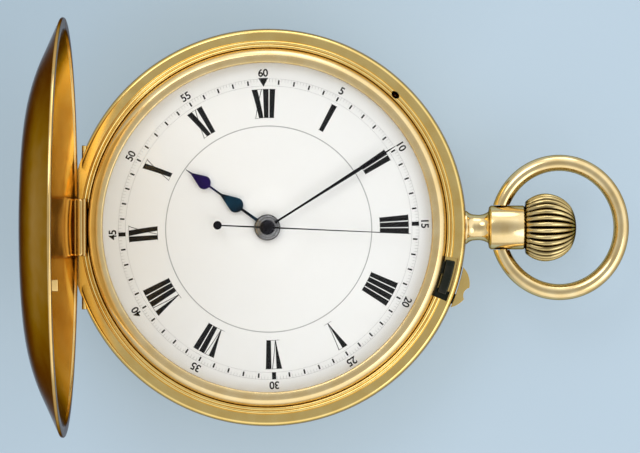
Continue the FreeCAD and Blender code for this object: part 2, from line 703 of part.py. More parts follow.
def front_cover():
    """The domed front cover, drawn shut and then stood open about its hinge."""
    body = new_body("front_cover")
    base = "cover_base"
    turn(body, "cover_dome", [
        ("0", f"{base} + cover_depth - shell_wall"),
        ("0", f"{base} + cover_depth", "-cover_arc"),
        ("cover_crown_radius", f"{base} + cover_shoulder", "-cover_bend_radius"),
        ("cover_cone_radius", f"{base} + cover_cone_depth"),
        ("case_radius", f"{base} + cover_lip"),
        ("case_radius", base),
        ("cover_rim_inner", base),
        ("cover_cone_inner", f"{base} + cover_cone_inner_depth", "cover_bend_radius"),
        ("cover_crown_radius", f"{base} + cover_shoulder - shell_wall", "cover_arc"),
    ])
    axis = "-front_hinge_x"
    height = "front_hinge_height"
    pad_across(body, "cover_knuckle", [circle(axis, height, "front_knuckle")],
               "2 * front_knuckle_half")
    arm = rectangle(f"{axis} - front_knuckle", height, f"{axis} + front_knuckle", f"{base} + 0.1")
    pad_across(body, "cover_arm", [arm], "2 * front_knuckle_half")
    leaf = rectangle("0.5 - case_radius", base, f"{axis} + front_knuckle", f"{base} + 0.3")
    pad_across(body, "cover_leaf", [leaf], "2 * front_knuckle_half")
    bore_across(body, "cover_pin_hole", [circle(axis, height, "pin_radius + pin_clearance")],
                "2 * case_radius")
    lug_start = "catch_middle - catch_half + 1"
    lug_end = "catch_middle + catch_half - 1"
    lug = sector("catch_outer + running_clearance", "catch_window_outer - running_clearance",
                 lug_start, lug_end)
    raise_up(body, "latch_lug", [lug], "rim_height - 0.7", f"{base} + 0.15")
    hook = sector("catch_outer - 0.15", "catch_window_outer - running_clearance",
                  lug_start, lug_end)
    raise_up(body, "latch_hook", [hook], "rim_height - 0.7", "rim_height - 0.5")
    opened = Placement(Vector(0, 0, 0), Rotation(Vector(0, 1, 0), -90),
                       Vector(-worth("front_hinge_x"), 0, worth(height)))
    body.Placement = opened
    body.setExpression(".Placement.Base.x", bound("-front_hinge_x + front_hinge_height"))
    body.setExpression(".Placement.Base.z", bound("front_hinge_height + front_hinge_x"))


def back_cover():
    """The domed back with the flat that the watch lies on."""
    body = new_body("back_cover")
    top = "back_height - joint_gap"
    turn(body, "back_dome", [
        ("0", "0"),
        ("rest_radius", "0", "back_arc"),
        ("edge_radius", "back_side"),
        ("edge_radius", top),
        ("back_inner_radius", top),
        ("back_inner_radius", "back_inner_side", "-back_inner_arc"),
        ("rest_radius", "shell_wall"),
        ("0", "shell_wall"),
    ])
    axis = "-back_hinge_x"
    height = "back_hinge_height"
    half = "(back_hinge_half + knuckle_gap)"
    relief = "(back_knuckle + knuckle_gap)"
    cut_down(body, "back_hinge_notch",
             [rectangle("-(case_radius + 1)", f"-{half}", f"{axis} + {relief} + 0.1", half)],
             f"{height} - {relief}", "back_height + 1")
    pad_across(body, "back_knuckle", [circle(axis, height, "back_knuckle")],
               "2 * back_knuckle_half")
    arm = rectangle(axis, f"{height} - back_knuckle", f"{axis} + 1.1", height)
    pad_across(body, "back_arm", [arm], "2 * back_knuckle_half")
    bore_across(body, "back_pin_hole", [circle(axis, height, "pin_radius + pin_clearance")],
                "2 * case_radius")


def dust_cover():
    """The inner back over the movement."""
    body = new_body("dust_cover")
    turn(body, "dust_dome", [
        ("0", "dust_centre_height", "dust_arc"),
        ("dust_radius", "dust_edge_height"),
        ("dust_radius", "dust_top"),
        ("dust_inner_radius", "dust_top"),
        ("dust_inner_radius", "dust_edge_height + dust_wall", "-dust_inner_arc"),
        ("0", "dust_centre_height + dust_wall"),
    ])
    axis = "-dust_hinge_x"
    height = "dust_hinge_height"
    pad_across(body, "dust_knuckle", [circle(axis, height, "dust_knuckle")],
               "2 * dust_knuckle_half")
    arm = rectangle(axis, f"{height} - dust_knuckle", "-dust_inner_radius - 0.1", height)
    pad_across(body, "dust_arm", [arm], "2 * dust_knuckle_half")
    bore_across(body, "dust_pin_hole", [circle(axis, height, "pin_radius + pin_clearance")],
                "2 * case_radius")


def hinge_pins():
    """One pin through each hinge, fast in the band's knuckles."""
    pins = [cylinder(f"{name}_pin", "pin_radius", f"2 * {name}_hinge_half - 0.1",
                     (f"-{name}_hinge_x", f"{name}_hinge_half - 0.05", f"{name}_hinge_height"),
                     Rotation(Vector(1, 0, 0), 90))
            for name in ("front", "back", "dust")]
    as_group("front_hinge_pin", pins[:1])
    as_group("back_hinge_pins", pins[1:])


def bezel_and_crystal():
    """The snap-on bezel and the domed glass that it holds."""
    plain_turned("bezel", [
        ("bezel_lip_radius", "bezel_lip"),
        ("dial_radius + 0.3", "bezel_lip"),
        ("dial_radius + 0.3", "seat_height + joint_gap"),
        ("bezel_radius", "seat_height + joint_gap"),
        ("bezel_radius", "rim_height + 0.25", "1.6"),
        ("bezel_radius - 0.75", "bezel_top", "1.6"),
        ("glass_radius + joint_gap", "glass_shoulder + 0.05"),
        ("glass_radius + joint_gap", "glass_seat"),
        ("bezel_lip_radius", "glass_seat"),
    ])
    plain_turned("crystal", [
        ("bezel_lip_radius", "glass_seat"),
        ("glass_radius", "glass_seat"),
        ("glass_radius", "glass_shoulder"),
        ("glass_bevel_radius", "glass_crest", "glass_arc"),
        ("0", "glass_crest + glass_dome"),
        ("0", "glass_crest + glass_dome - glass_wall", "-glass_inner_arc"),
        ("glass_inner_radius", "glass_crest - glass_wall"),
    ])


# ---------------------------------------------------------------- pendant, crown and bow

def pendant():
    """The pendant: a flange let into the band, a neck and a drum-shaped head."""
    bore = "stem_radius + running_clearance"
    body = plain_turned("pendant", [
        (bore, "pendant_inner_end"),
        ("pendant_socket", "pendant_inner_end"),
        ("pendant_socket", "edge_radius - 0.2"),
        ("pendant_flare", "edge_radius - 0.2"),
        ("pendant_flare", "case_radius + 0.1"),
        ("pendant_neck", "neck_x - 0.7", "-1.3"),
        ("head_radius - 0.6", "head_start"),
        ("head_radius", "head_start + 0.5"),
        ("head_radius", "head_end - 0.3"),
        ("head_radius - 0.3", "head_end"),
        (bore, "head_end"),
    ])
    bore_across(body, "bow_screw_holes", [circle("0", "bow_pivot_x", "screw_radius")],
                "4 * head_radius")
    lay_along_x(body, "stem_height")


def crown():
    """The ribbed crown, hollow at its foot so that it slides over the head of the pendant."""
    body = plain_turned("crown", [
        ("0", "crown_end - 2.5"),
        ("0", "crown_end", "-crown_end_arc"),
        ("crown_shoulder_radius", "crown_end - crown_shoulder_drop", "-crown_upper_arc"),
        ("crown_radius", "crown_start + crown_belly", "-crown_lower_arc"),
        ("crown_skirt_radius", "crown_start"),
        ("head_radius + 0.12", "crown_start"),
        ("head_radius + 0.12", "crown_floor"),
        ("stem_radius", "crown_floor"),
        ("stem_radius", "crown_end - 2.5"),
    ])
    flute = [
        ("flute_bottom_radius", "flute_bottom"),
        ("crown_radius + 0.5", "flute_bottom"),
        ("crown_radius + 0.5", "flute_top"),
        ("flute_top_radius", "flute_top", "-(crown_upper_arc - flute_depth)"),
        ("crown_radius - flute_depth", "crown_start + crown_belly",
         "-(crown_lower_arc - flute_depth)"),
    ]
    notch = turn(body, "flute", flute, cut=True)
    notch.Midplane = True
    notch.setExpression("Angle", bound("360 * flute_share / crown_ribs"))
    doc.recompute()
    pattern = body.newObject("PartDesign::PolarPattern", "flutes")
    pattern.Originals = [notch]
    pattern.Axis = (notch.Profile[0], ["V_Axis"])
    pattern.Angle = 360
    pattern.setExpression("Occurrences", bound("crown_ribs"))
    body.Tip = pattern
    lay_along_x(body, "stem_height")


def winding_stem():
    """The stem: squared inside the winding pinion, with a collar that works the lock spring."""
    body = plain_turned("winding_stem", [
        ("0", "winding_x + 1"),
        ("stem_radius", "winding_x + 1"),
        ("stem_radius", "stem_collar"),
        ("stem_radius * 2", "stem_collar"),
        ("stem_radius * 2", "stem_collar + 0.25"),
        ("stem_radius", "stem_collar + 0.25"),
        ("stem_radius", "crown_end - 2.5"),
        ("0", "crown_end - 2.5"),
    ])
    half = "stem_square / 2"
    raise_up(body, "stem_squared", [rectangle(f"-{half}", f"-{half}", half, half)],
             "winding_x - 1.2", "winding_x + 1.1")
    lay_along_x(body, "stem_height")


def cylinder(name, radius, length, place, tilt=None):
    """A Part cylinder from place upwards, or turned by tilt first."""
    item = doc.addObject("Part::Cylinder", name)
    item.setExpression("Radius", bound(radius))
    item.setExpression("Height", bound(length))
    item.Placement = Placement(Vector(), tilt or Rotation())
    for axis, formula in zip("xyz", place):
        item.setExpression(f".Placement.Base.{axis}", bound(formula))
    return item


def bow():
    """The oval bow: wire swept round most of an ellipse, with an eye at each end."""
    path = doc.addObject("Part::Ellipse", "bow_path")
    path.setExpression("MajorRadius", bound("bow_half_y"))
    path.setExpression("MinorRadius", bound("bow_half_x"))
    path.setExpression("Angle1", bound("180 - bow_gap_angle"))
    path.setExpression("Angle2", bound("360 + bow_gap_angle"))
    path.Placement = Placement(Vector(), Rotation(90, 0, 0))
    path.setExpression(".Placement.Base.x", bound("bow_centre_x"))
    path.setExpression(".Placement.Base.z", bound("stem_height"))
    section = doc.addObject("Part::Circle", "bow_wire_section")
    section.setExpression("Radius", bound("bow_wire"))
    doc.recompute()
    first = path.Shape.Edges[0]
    start = first.valueAt(first.FirstParameter)
    heading = first.tangentAt(first.FirstParameter)
    section.Placement = Placement(start, Rotation(Vector(0, 0, 1), heading))
    wire = doc.addObject("Part::Sweep", "bow_wire_sweep")
    wire.Sections = [section]
    wire.Spine = (path, ["Edge1"])
    wire.Solid = True
    joined = [wire]
    holes = []
    for side, turned in (("upper", -90), ("lower", 90)):
        tilt = Rotation(Vector(1, 0, 0), turned)
        sign = "" if side == "upper" else "-"
        inner = f"{sign}(head_radius + knuckle_gap)"
        joined.append(cylinder(f"bow_eye_{side}", "bow_eye", "1.6",
                               ("bow_pivot_x", inner, "stem_height"), tilt))
        holes.append(cylinder(f"bow_hole_{side}", "screw_radius + running_clearance", "3",
                              ("bow_pivot_x", f"{sign}(head_radius - 0.5)", "stem_height"), tilt))
        holes.append(cylinder(f"bow_sink_{side}", "screw_head_radius + joint_gap", "6",
                              ("bow_pivot_x", f"{sign}(head_radius + 1.3)", "stem_height"), tilt))
    whole = doc.addObject("Part::MultiFuse", "bow_blank")
    whole.Shapes = joined
    bored = doc.addObject("Part::MultiFuse", "bow_bores")
    bored.Shapes = holes
    ring = doc.addObject("Part::Cut", "bow")
    ring.Base = whole
    ring.Tool = bored
    ring.Label = "bow"
    parts["bow"] = ring


def screws(label, spots, shank_length, tilts=None, shank="screw_radius",
           head="screw_head_radius", head_height="screw_head_height"):
    """Slotted screws. Each spot is the place under the head; the shank points along +Z from
    there, or as its tilt turns it, and the head lies the other way."""
    finished = []
    for index, spot in enumerate(spots):
        tilt = tilts[index] if tilts else Rotation()
        stem = cylinder(f"{label}_shank_{index}", shank, shank_length, spot, tilt)
        cap = cylinder(f"{label}_head_{index}", head, head_height, spot,
                       tilt * Rotation(Vector(1, 0, 0), 180))
        slot = doc.addObject("Part::Box", f"{label}_slot_{index}")
        slot.setExpression("Length", bound(f"2 * {head} + 0.2"))
        slot.Width = 0.2
        slot.setExpression("Height", bound(f"{head_height}"))
        turned = tilt * Rotation(Vector(1, 0, 0), 180)
        corner = turned.multVec(Vector(-worth(head) - 0.1, -0.1, worth(head_height) * 0.55))
        slot.Placement = Placement(Vector(*[worth(at) for at in spot]) + corner, turned)
        whole = doc.addObject("Part::MultiFuse", f"{label}_whole_{index}")
        whole.Shapes = [stem, cap]
        cut = doc.addObject("Part::Cut", f"{label}_{index}")
        cut.Base = whole
        cut.Tool = slot
        finished.append(cut)
    return finished


def as_group(label, members):
    """Several like solids as one node."""
    group = doc.addObject("Part::Compound", label)
    group.Links = members
    group.Label = label
    parts[label] = group


def bow_screws():
    """The two screws that the bow swings on."""
    spots = [("bow_pivot_x", f"{sign}(head_radius + 1.3 + joint_gap)", "stem_height")
             for sign in ("", "-")]
    tilts = [Rotation(Vector(1, 0, 0), 90), Rotation(Vector(1, 0, 0), -90)]
    as_group("bow_screws", screws("bow_screw", spots, "head_radius + 1.33 - stem_radius - 0.3",
                                  tilts))


# ---------------------------------------------------------------- catch and stop slide

def case_springs():
    """The lock spring with its catch, and the lift spring that throws the cover open."""
    body = new_body("lock_spring")
    floor, top = "spring_floor", "spring_floor + spring_height - 0.2"
    strip = sector("spring_inner", "spring_outer", "spring_start", "6")
    raise_up(body, "lock_strip", [strip], floor, top)
    bore_outwards(body, "stem_eye", [circle("0", "stem_height", "stem_radius + 0.08")],
                  "bore_radius", "spring_outer + 0.5")
    ends = ("catch_middle + 1", "catch_middle + catch_half")
    raise_up(body, "catch_riser", [sector("spring_inner", "spring_outer", *ends)],
             "spring_floor + 1", "band_top - joint_gap")
    raise_up(body, "catch_arm", [sector("spring_inner + 0.1", "catch_outer - 0.2", *ends)],
             "slide_floor", "band_top - joint_gap")
    raise_up(body, "catch_post", [sector("catch_inner", "catch_outer - 0.2", *ends)],
             "slide_floor", "rim_height - 0.9")
    bar = ("catch_middle - catch_half", "catch_middle + catch_half")
    raise_up(body, "catch_bar", [sector("catch_inner", "catch_outer - 0.2", *bar)],
             "rim_height - 1", "rim_height - 0.2")
    raise_up(body, "catch_nose", [sector("catch_inner", "catch_outer", *bar)],
             "rim_height - 0.47", "rim_height - 0.1")
    lift = new_body("lift_spring")
    strip = sector("spring_inner", "spring_outer", "lift_start", "lift_end")
    raise_up(lift, "lift_strip", [strip], floor, top)
    tip = sector("spring_inner", "spring_outer", "lift_end - 4", "lift_end")
    raise_up(lift, "lift_tip", [tip], "spring_floor + 1", "band_top - 0.15")


def stop_slide():
    """The gold thumb piece outside the band and the steel tongue that it drives."""
    low = "slide_floor"
    high = "slide_floor + slide_height"
    tongue = new_body("stop_slide")
    narrow = ("slide_middle - slide_half", "slide_middle + slide_half")
    raise_up(tongue, "tongue", [sector("tongue_radius - 0.5", "case_radius + 0.1", *narrow)],
             low, high)
    raise_up(tongue, "drive_pin", [circle("tongue_x", "tongue_y", "pin_radius")],
             "plate_top + joint_gap", "slide_floor + 0.1")
    thumb = new_body("stop_thumb_piece")
    inner = "case_radius + 0.1"
    start, end = "thumb_middle - thumb_half", "thumb_middle + thumb_half"
    foot, crest = "slide_floor - 0.4", "slide_floor + slide_height + 0.5"
    block = [
        (f"({inner}) * cos({start})", f"({inner}) * sin({start})", "thumb_arc"),
        (f"({inner}) * cos({end})", f"({inner}) * sin({end})", f"-({inner})"),
    ]
    raise_up(thumb, "thumb_block", [block], foot, crest)
    grip = circle("(thumb_radius + 0.55) * cos(thumb_middle - 1)",
                  "(thumb_radius + 0.55) * sin(thumb_middle - 1)", "1.1")
    cut_down(thumb, "thumb_grip", [grip], foot, crest)


# ---------------------------------------------------------------- dial and hands

def dial_and_feet():
    """The enamel dial and the feet that hold it to the pillar plate."""
    plain_turned("dial", [
        ("dial_hole_radius", "dial_bottom"),
        ("dial_radius", "dial_bottom"),
        ("dial_radius", "dial_top - 0.15"),
        ("dial_radius - 0.15", "dial_top"),
        ("dial_hole_radius", "dial_top"),
    ])
    feet = [cylinder(f"dial_foot_{index}", "foot_radius", "dial_bottom - plate_bottom - 0.2",
                     (f"foot_circle * cos({angle})", f"foot_circle * sin({angle})",
                      "plate_bottom + 0.2"))
            for index, angle in enumerate(DIAL_FOOT_ANGLES)]
    as_group("dial_feet", feet)


def hand(label, angle, level, bore, boss, boss_low, boss_high, blades):
    """A hand drawn pointing along +X and turned to its angle. Blades are closed loops."""
    body = new_body(label)
    raise_up(body, f"{label}_boss", [circle("0", "0", boss)], boss_low, boss_high)
    for index, blade in enumerate(blades):
        raise_up(body, f"{label}_blade_{index}", [blade], level, f"{level} + hand_thickness")
    if bore != "0":
        cut_down(body, f"{label}_bore", [circle("0", "0", bore)], f"{boss_low} - 1",
                 f"{boss_high} + 1")
    body.Placement = Placement(Vector(), Rotation(Vector(0, 0, 1), worth(angle)))
    body.setExpression(".Placement.Rotation.Angle", bound(angle))
    return body


def leaf(start, middle, end, half, root, tip):
    """A leaf-shaped swelling of a hand between two points along its blade."""
    return [
        (start, f"-({root})"), (middle, f"-({half})"), (end, f"-({tip})"),
        (end, tip), (middle, half), (start, root),
    ]


def hands():
    """Two leaf-shaped hands and the centre seconds hand with its counterpoise."""
    bulb = [
        ("hour_reach * 0.31", "-0.35", "1.05"),
        ("hour_reach * 0.37", "-hour_blade", "3.2"),
        ("hour_reach * 0.565", "-0.12"),
        ("hour_reach * 0.565", "0.12", "3.2"),
        ("hour_reach * 0.37", "hour_blade", "1.05"),
        ("hour_reach * 0.31", "0.35"),
    ]
    spade = [
        ("hour_reach * 0.70", "-0.16", "2.4"),
        ("hour_reach * 0.82", "-hour_blade * 0.87", "2.6"),
        ("hour_reach * 0.935", "-0.1"),
        ("hour_reach * 0.935", "0.1", "2.6"),
        ("hour_reach * 0.82", "hour_blade * 0.87", "2.4"),
        ("hour_reach * 0.70", "0.16"),
    ]
    shaft = rectangle("0.5", "-0.16", "hour_reach * 0.75", "0.16")
    point = rectangle("hour_reach * 0.9", "-0.1", "hour_reach", "0.1")
    hand("hour_hand", "hour_hand_angle", "hour_level", "hour_pipe", "hour_boss",
         "hour_level - 0.1", "hour_level + 0.25", [shaft, bulb, spade, point])
    slim = leaf("0.5", "minute_reach * 0.7", "minute_reach", "0.2", "0.13", "0.05")
    hand("minute_hand", "minute_hand_angle", "minute_level", "cannon_pipe", "minute_boss",
         "minute_level - 0.1", "minute_level + 0.2", [slim])
    needle = leaf("-seconds_tail", "0", "seconds_reach", "0.12", "0.09", "0.05")
    weight = circle("-seconds_tail", "0", "0.58")
    hand("seconds_hand", "seconds_hand_angle", "seconds_level", "0", "seconds_boss",
         "seconds_level - 0.1", "seconds_level + 0.55", [needle, weight])


# ---------------------------------------------------------------- toothed wheels

def on_circle(radius, degrees):
    """A point in plan at a radius and an angle."""
    return Vector(radius * math.cos(math.radians(degrees)),
                  radius * math.sin(math.radians(degrees)), 0)


def ring_wire(radius):
    """A full circle as a wire."""
    return Part.Wire([Part.Circle(Vector(), Vector(0, 0, 1), radius).toShape()])


def toothed_wire(teeth, pitch, phase=0, share=0.38, tip=0.8, root=1.2):
    """The outline of a wheel or pinion: tapered teeth, one of them centred on phase."""
    module = 2 * pitch / teeth
    step = 360 / teeth
    root_half, tip_half = step * share * 0.62, step * share * 0.3
    points = []
    for index in range(teeth):
        middle = phase + index * step
        points.append(on_circle(pitch - root * module, middle - root_half))
        points.append(on_circle(pitch + tip * module, middle - tip_half))
        points.append(on_circle(pitch + tip * module, middle + tip_half))
        points.append(on_circle(pitch - root * module, middle + root_half))
    return Part.makePolygon(points + points[:1])


def windows(hub, rim, arms, arm_half):
    """The openings between a wheel's arms, from hub to rim."""
    wires = []
    for index in range(arms):
        start, end = 360 / arms * index, 360 / arms * (index + 1)
        inner = math.degrees(math.asin(arm_half / hub))
        outer = math.degrees(math.asin(arm_half / rim))
        corners = [on_circle(hub, start + inner), on_circle(rim, start + outer),
                   on_circle(rim, end - outer), on_circle(hub, end - inner)]
        middle = (start + end) / 2
        wires.append(Part.Wire([
            Part.LineSegment(corners[0], corners[1]).toShape(),
            Part.Arc(corners[1], on_circle(rim, middle), corners[2]).toShape(),
            Part.LineSegment(corners[2], corners[3]).toShape(),
            Part.Arc(corners[3], on_circle(hub, middle), corners[0]).toShape(),
        ]))
    return wires


def slab(wires, low, high):
    """A flat piece between two heights: the first wire is its outline, the rest its holes."""
    face = Part.makeFace(wires, "Part::FaceMakerCheese")
    face.translate(Vector(0, 0, low))
    return face.extrude(Vector(0, 0, high - low))


def rod(radius, low, high):
    """A round rod about the local Z axis."""
    return Part.makeCylinder(radius, high - low, Vector(0, 0, low))


def tube(outer, inner, low, high):
    """A round tube about the local Z axis."""
    return slab([ring_wire(outer), ring_wire(inner)], low, high)


def as_feature(label, shape, x="0", y="0"):
    """A node whose shape is made in code, standing over a point of the sheet in plan."""
    item = doc.addObject("Part::Feature", label)
    item.Label = label
    item.Shape = shape
    item.Placement = Placement(Vector(worth(x), worth(y), 0), Rotation())
    item.setExpression(".Placement.Base.x", bound(x))
    item.setExpression(".Placement.Base.y", bound(y))
    parts[label] = item
    return item


def direction(from_x, from_y, to_x, to_y):
    """The angle in plan from one point of the sheet to another."""
    return math.degrees(math.atan2(worth(to_y) - worth(from_y), worth(to_x) - worth(from_x)))


def gap_phase(teeth, towards):
    """The phase that puts a gap between two teeth in the given direction."""
    return towards + 180 / teeth


def pinion_on_arbor(label, name, pitch, low, high, phase, x, y, extras=(), top=None, bottom=None):
    """A pinion cut on its arbor, with a pivot in each plate."""
    arbor, pivot = worth("arbor_radius"), worth("pivot_radius")
    bottom = worth("upper_bottom") + 0.1 if bottom is None else bottom
    top = worth("plate_top") - 0.1 if top is None else top
    shape = slab([toothed_wire(TOOTH_COUNTS[name], worth(pitch), phase, 0.34)], low, high)
    shape = shape.fuse([
        rod(arbor, worth("upper_top") + 0.05, worth("plate_bottom") - 0.05),
        rod(pivot, bottom, top),
    ] + list(extras))
    return as_feature(label, shape.removeSplitter(), x, y)


def wheel(label, name, pitch, level, thickness, phase, bore, x, y, arms=4):
    """A crossed-out wheel riveted on an arbor of radius bore."""
    radius = worth(pitch)
    module = 2 * radius / TOOTH_COUNTS[name]
    rim = radius - 1.2 * module - 0.45
    hub = bore + 0.45
    wires = [toothed_wire(TOOTH_COUNTS[name], radius, phase), ring_wire(bore)]
    wires += windows(hub, rim, arms, 0.22)
    return as_feature(label, slab(wires, level, level + thickness), x, y)


def going_train():
    """Barrel, second, third and fourth wheels and the escape wheel, each in mesh at rest."""
    thick = worth("wheel_thickness")
    arbor = worth("arbor_radius")
    leaf_height = worth("pinion_height")
    low = worth("barrel_floor")
    to_second = direction("barrel_x", "barrel_y", "second_x", "second_y")
    barrel = slab([toothed_wire(TOOTH_COUNTS["barrel"], worth("barrel_pitch"), to_second),
                   ring_wire(worth("barrel_arbor") + worth("running_clearance"))],
                  low, worth("barrel_teeth_top"))
    drum = worth("barrel_pitch") - 0.55
    barrel = barrel.fuse(tube(drum, drum - 0.4, worth("barrel_teeth_top"), worth("barrel_top")))
    as_feature("barrel", barrel.removeSplitter(), "barrel_x", "barrel_y")
    as_feature("barrel_cover", tube(drum - 0.4, worth("barrel_arbor") + 0.03,
                                    worth("barrel_top") - 0.2, worth("barrel_top")),
               "barrel_x", "barrel_y")
    arbor_rod = rod(worth("barrel_arbor"), worth("back_wheel_bottom"), worth("plate_bottom") + 0.4)
    as_feature("barrel_arbor", arbor_rod, "barrel_x", "barrel_y")
    as_feature("mainspring", spiral_strip(worth("barrel_arbor") + 0.25, drum - 0.55, 11, 0.16,
                                          worth("barrel_teeth_top") + 0.1,
                                          worth("barrel_top") - 0.3),
               "barrel_x", "barrel_y")

    pinion_on_arbor("second_pinion", "second_pinion", "second_pinion_pitch", low - 0.05,
                    worth("barrel_teeth_top") + 0.1,
                    gap_phase(TOOTH_COUNTS["second_pinion"], to_second + 180),
                    "second_x", "second_y", top=worth("dial_bottom") - 0.3)
    to_third = direction("second_x", "second_y", "third_x", "third_y")
    level = worth("second_level")
    wheel("second_wheel", "second", "second_pitch", level, thick, to_third, arbor,
          "second_x", "second_y")
    pinion_on_arbor("third_pinion", "third_pinion", "third_pinion_pitch",
                    level - 0.15, level + 0.37, gap_phase(TOOTH_COUNTS["third_pinion"], to_third + 180),
                    "third_x", "third_y")
    to_centre = direction("third_x", "third_y", "0", "0")
    level = worth("third_level")
    wheel("third_wheel", "third", "third_pitch", level, thick, to_centre, arbor,
          "third_x", "third_y")
    seconds_rod = rod(worth("pivot_radius") + 0.08, level, worth("seconds_level") - 0.1)
    pinion_on_arbor("fourth_pinion", "fourth_pinion", "fourth_pinion_pitch",
                    level - 0.15, level + leaf_height - 0.15,
                    gap_phase(TOOTH_COUNTS["fourth_pinion"], to_centre + 180),
                    "0", "0", extras=[seconds_rod])
    to_escape = direction("0", "0", "escape_x", "escape_y")
    level = worth("fourth_level")
    wheel("fourth_wheel", "fourth", "fourth_pitch", level, thick, to_escape, arbor, "0", "0")
    pinion_on_arbor("escape_pinion", "escape_pinion", "escape_pinion_pitch",
                    level - 0.15, level + leaf_height - 0.15,
                    gap_phase(TOOTH_COUNTS["escape_pinion"], to_escape + 180),
                    "escape_x", "escape_y")


def spiral_strip(inner, outer, turns, thickness, low, high):
    """A flat spring wound as an even spiral."""
    steps = int(turns * 24)
    pitch = (outer - inner) / turns
    sides = []
    for shift in (-thickness / 2, thickness / 2):
        points = [on_circle(inner + pitch * index / 24 + shift, index * 15)
                  for index in range(steps + 1)]
        curve = Part.BSplineCurve()
        curve.interpolate(points)
        sides.append(curve)
    ends = [Part.LineSegment(sides[0].StartPoint, sides[1].StartPoint),
            Part.LineSegment(sides[0].EndPoint, sides[1].EndPoint)]
    edges = Part.__sortEdges__([piece.toShape() for piece in sides + ends])
    return slab([Part.Wire(edges)], low, high)


def motion_work():
    """Friction pinion, minute wheel, cannon pinion and hour wheel under the dial."""
    base = worth("plate_top")
    clearance = worth("running_clearance")
    tube_outer = worth("centre_tube")
    as_feature("centre_tube", tube(tube_outer, worth("pivot_radius") + 0.08 + clearance,
                                   worth("plate_bottom"), worth("minute_level") - 0.15))
    to_minute = direction("0", "0", "minute_x", "minute_y")
    low, middle, high = base + 0.1, base + 0.45, worth("dial_bottom") - 0.1
    facing = gap_phase(TOOTH_COUNTS["cannon"], to_minute)
    cannon = slab([toothed_wire(TOOTH_COUNTS["cannon"], worth("cannon_pitch"), facing, 0.34),
                   ring_wire(tube_outer + clearance)], low, middle)
    pipe = tube(worth("cannon_pipe"), tube_outer + clearance, low,
                worth("minute_level") + worth("hand_thickness") + 0.05)
    as_feature("cannon_pinion", cannon.fuse(pipe).removeSplitter())
    back = direction("minute_x", "minute_y", "second_x", "second_y")
    phase = to_minute + 180
    steps_round = (back - phase) / (360 / TOOTH_COUNTS["minute_wheel"])
    slip = (steps_round - math.floor(steps_round)) * 360 / TOOTH_COUNTS["minute_wheel"]
    friction_phase = (gap_phase(TOOTH_COUNTS["cannon"], back + 180)
                      + slip * TOOTH_COUNTS["minute_wheel"] / TOOTH_COUNTS["cannon"])
    driver = slab([toothed_wire(TOOTH_COUNTS["cannon"], worth("cannon_pitch"), friction_phase, 0.34),
                   ring_wire(worth("pivot_radius"))], low, middle)
    as_feature("friction_pinion", driver, "second_x", "second_y")
    stud = worth("stud_radius")
    flat = slab([toothed_wire(TOOTH_COUNTS["minute_wheel"], worth("minute_wheel_pitch"), phase),
                 ring_wire(stud + clearance)], low + 0.05, middle - 0.05)
    leaves = slab([toothed_wire(TOOTH_COUNTS["minute_pinion"], worth("minute_pinion_pitch"),
                                phase, 0.34), ring_wire(stud + clearance)],
                  middle - 0.05, high - 0.05)
    as_feature("minute_wheel", flat.fuse(leaves).removeSplitter(), "minute_x", "minute_y")
    hour_bore = worth("cannon_pipe") + clearance
    hour = slab([toothed_wire(TOOTH_COUNTS["hour_wheel"], worth("hour_wheel_pitch"),
                              gap_phase(TOOTH_COUNTS["hour_wheel"], to_minute)), ring_wire(hour_bore)],
                middle + 0.1, middle + 0.35)
    pipe = tube(worth("hour_pipe"), hour_bore, middle + 0.1,
                worth("hour_level") + worth("hand_thickness") + 0.05)
    as_feature("hour_wheel", hour.fuse(pipe).removeSplitter())


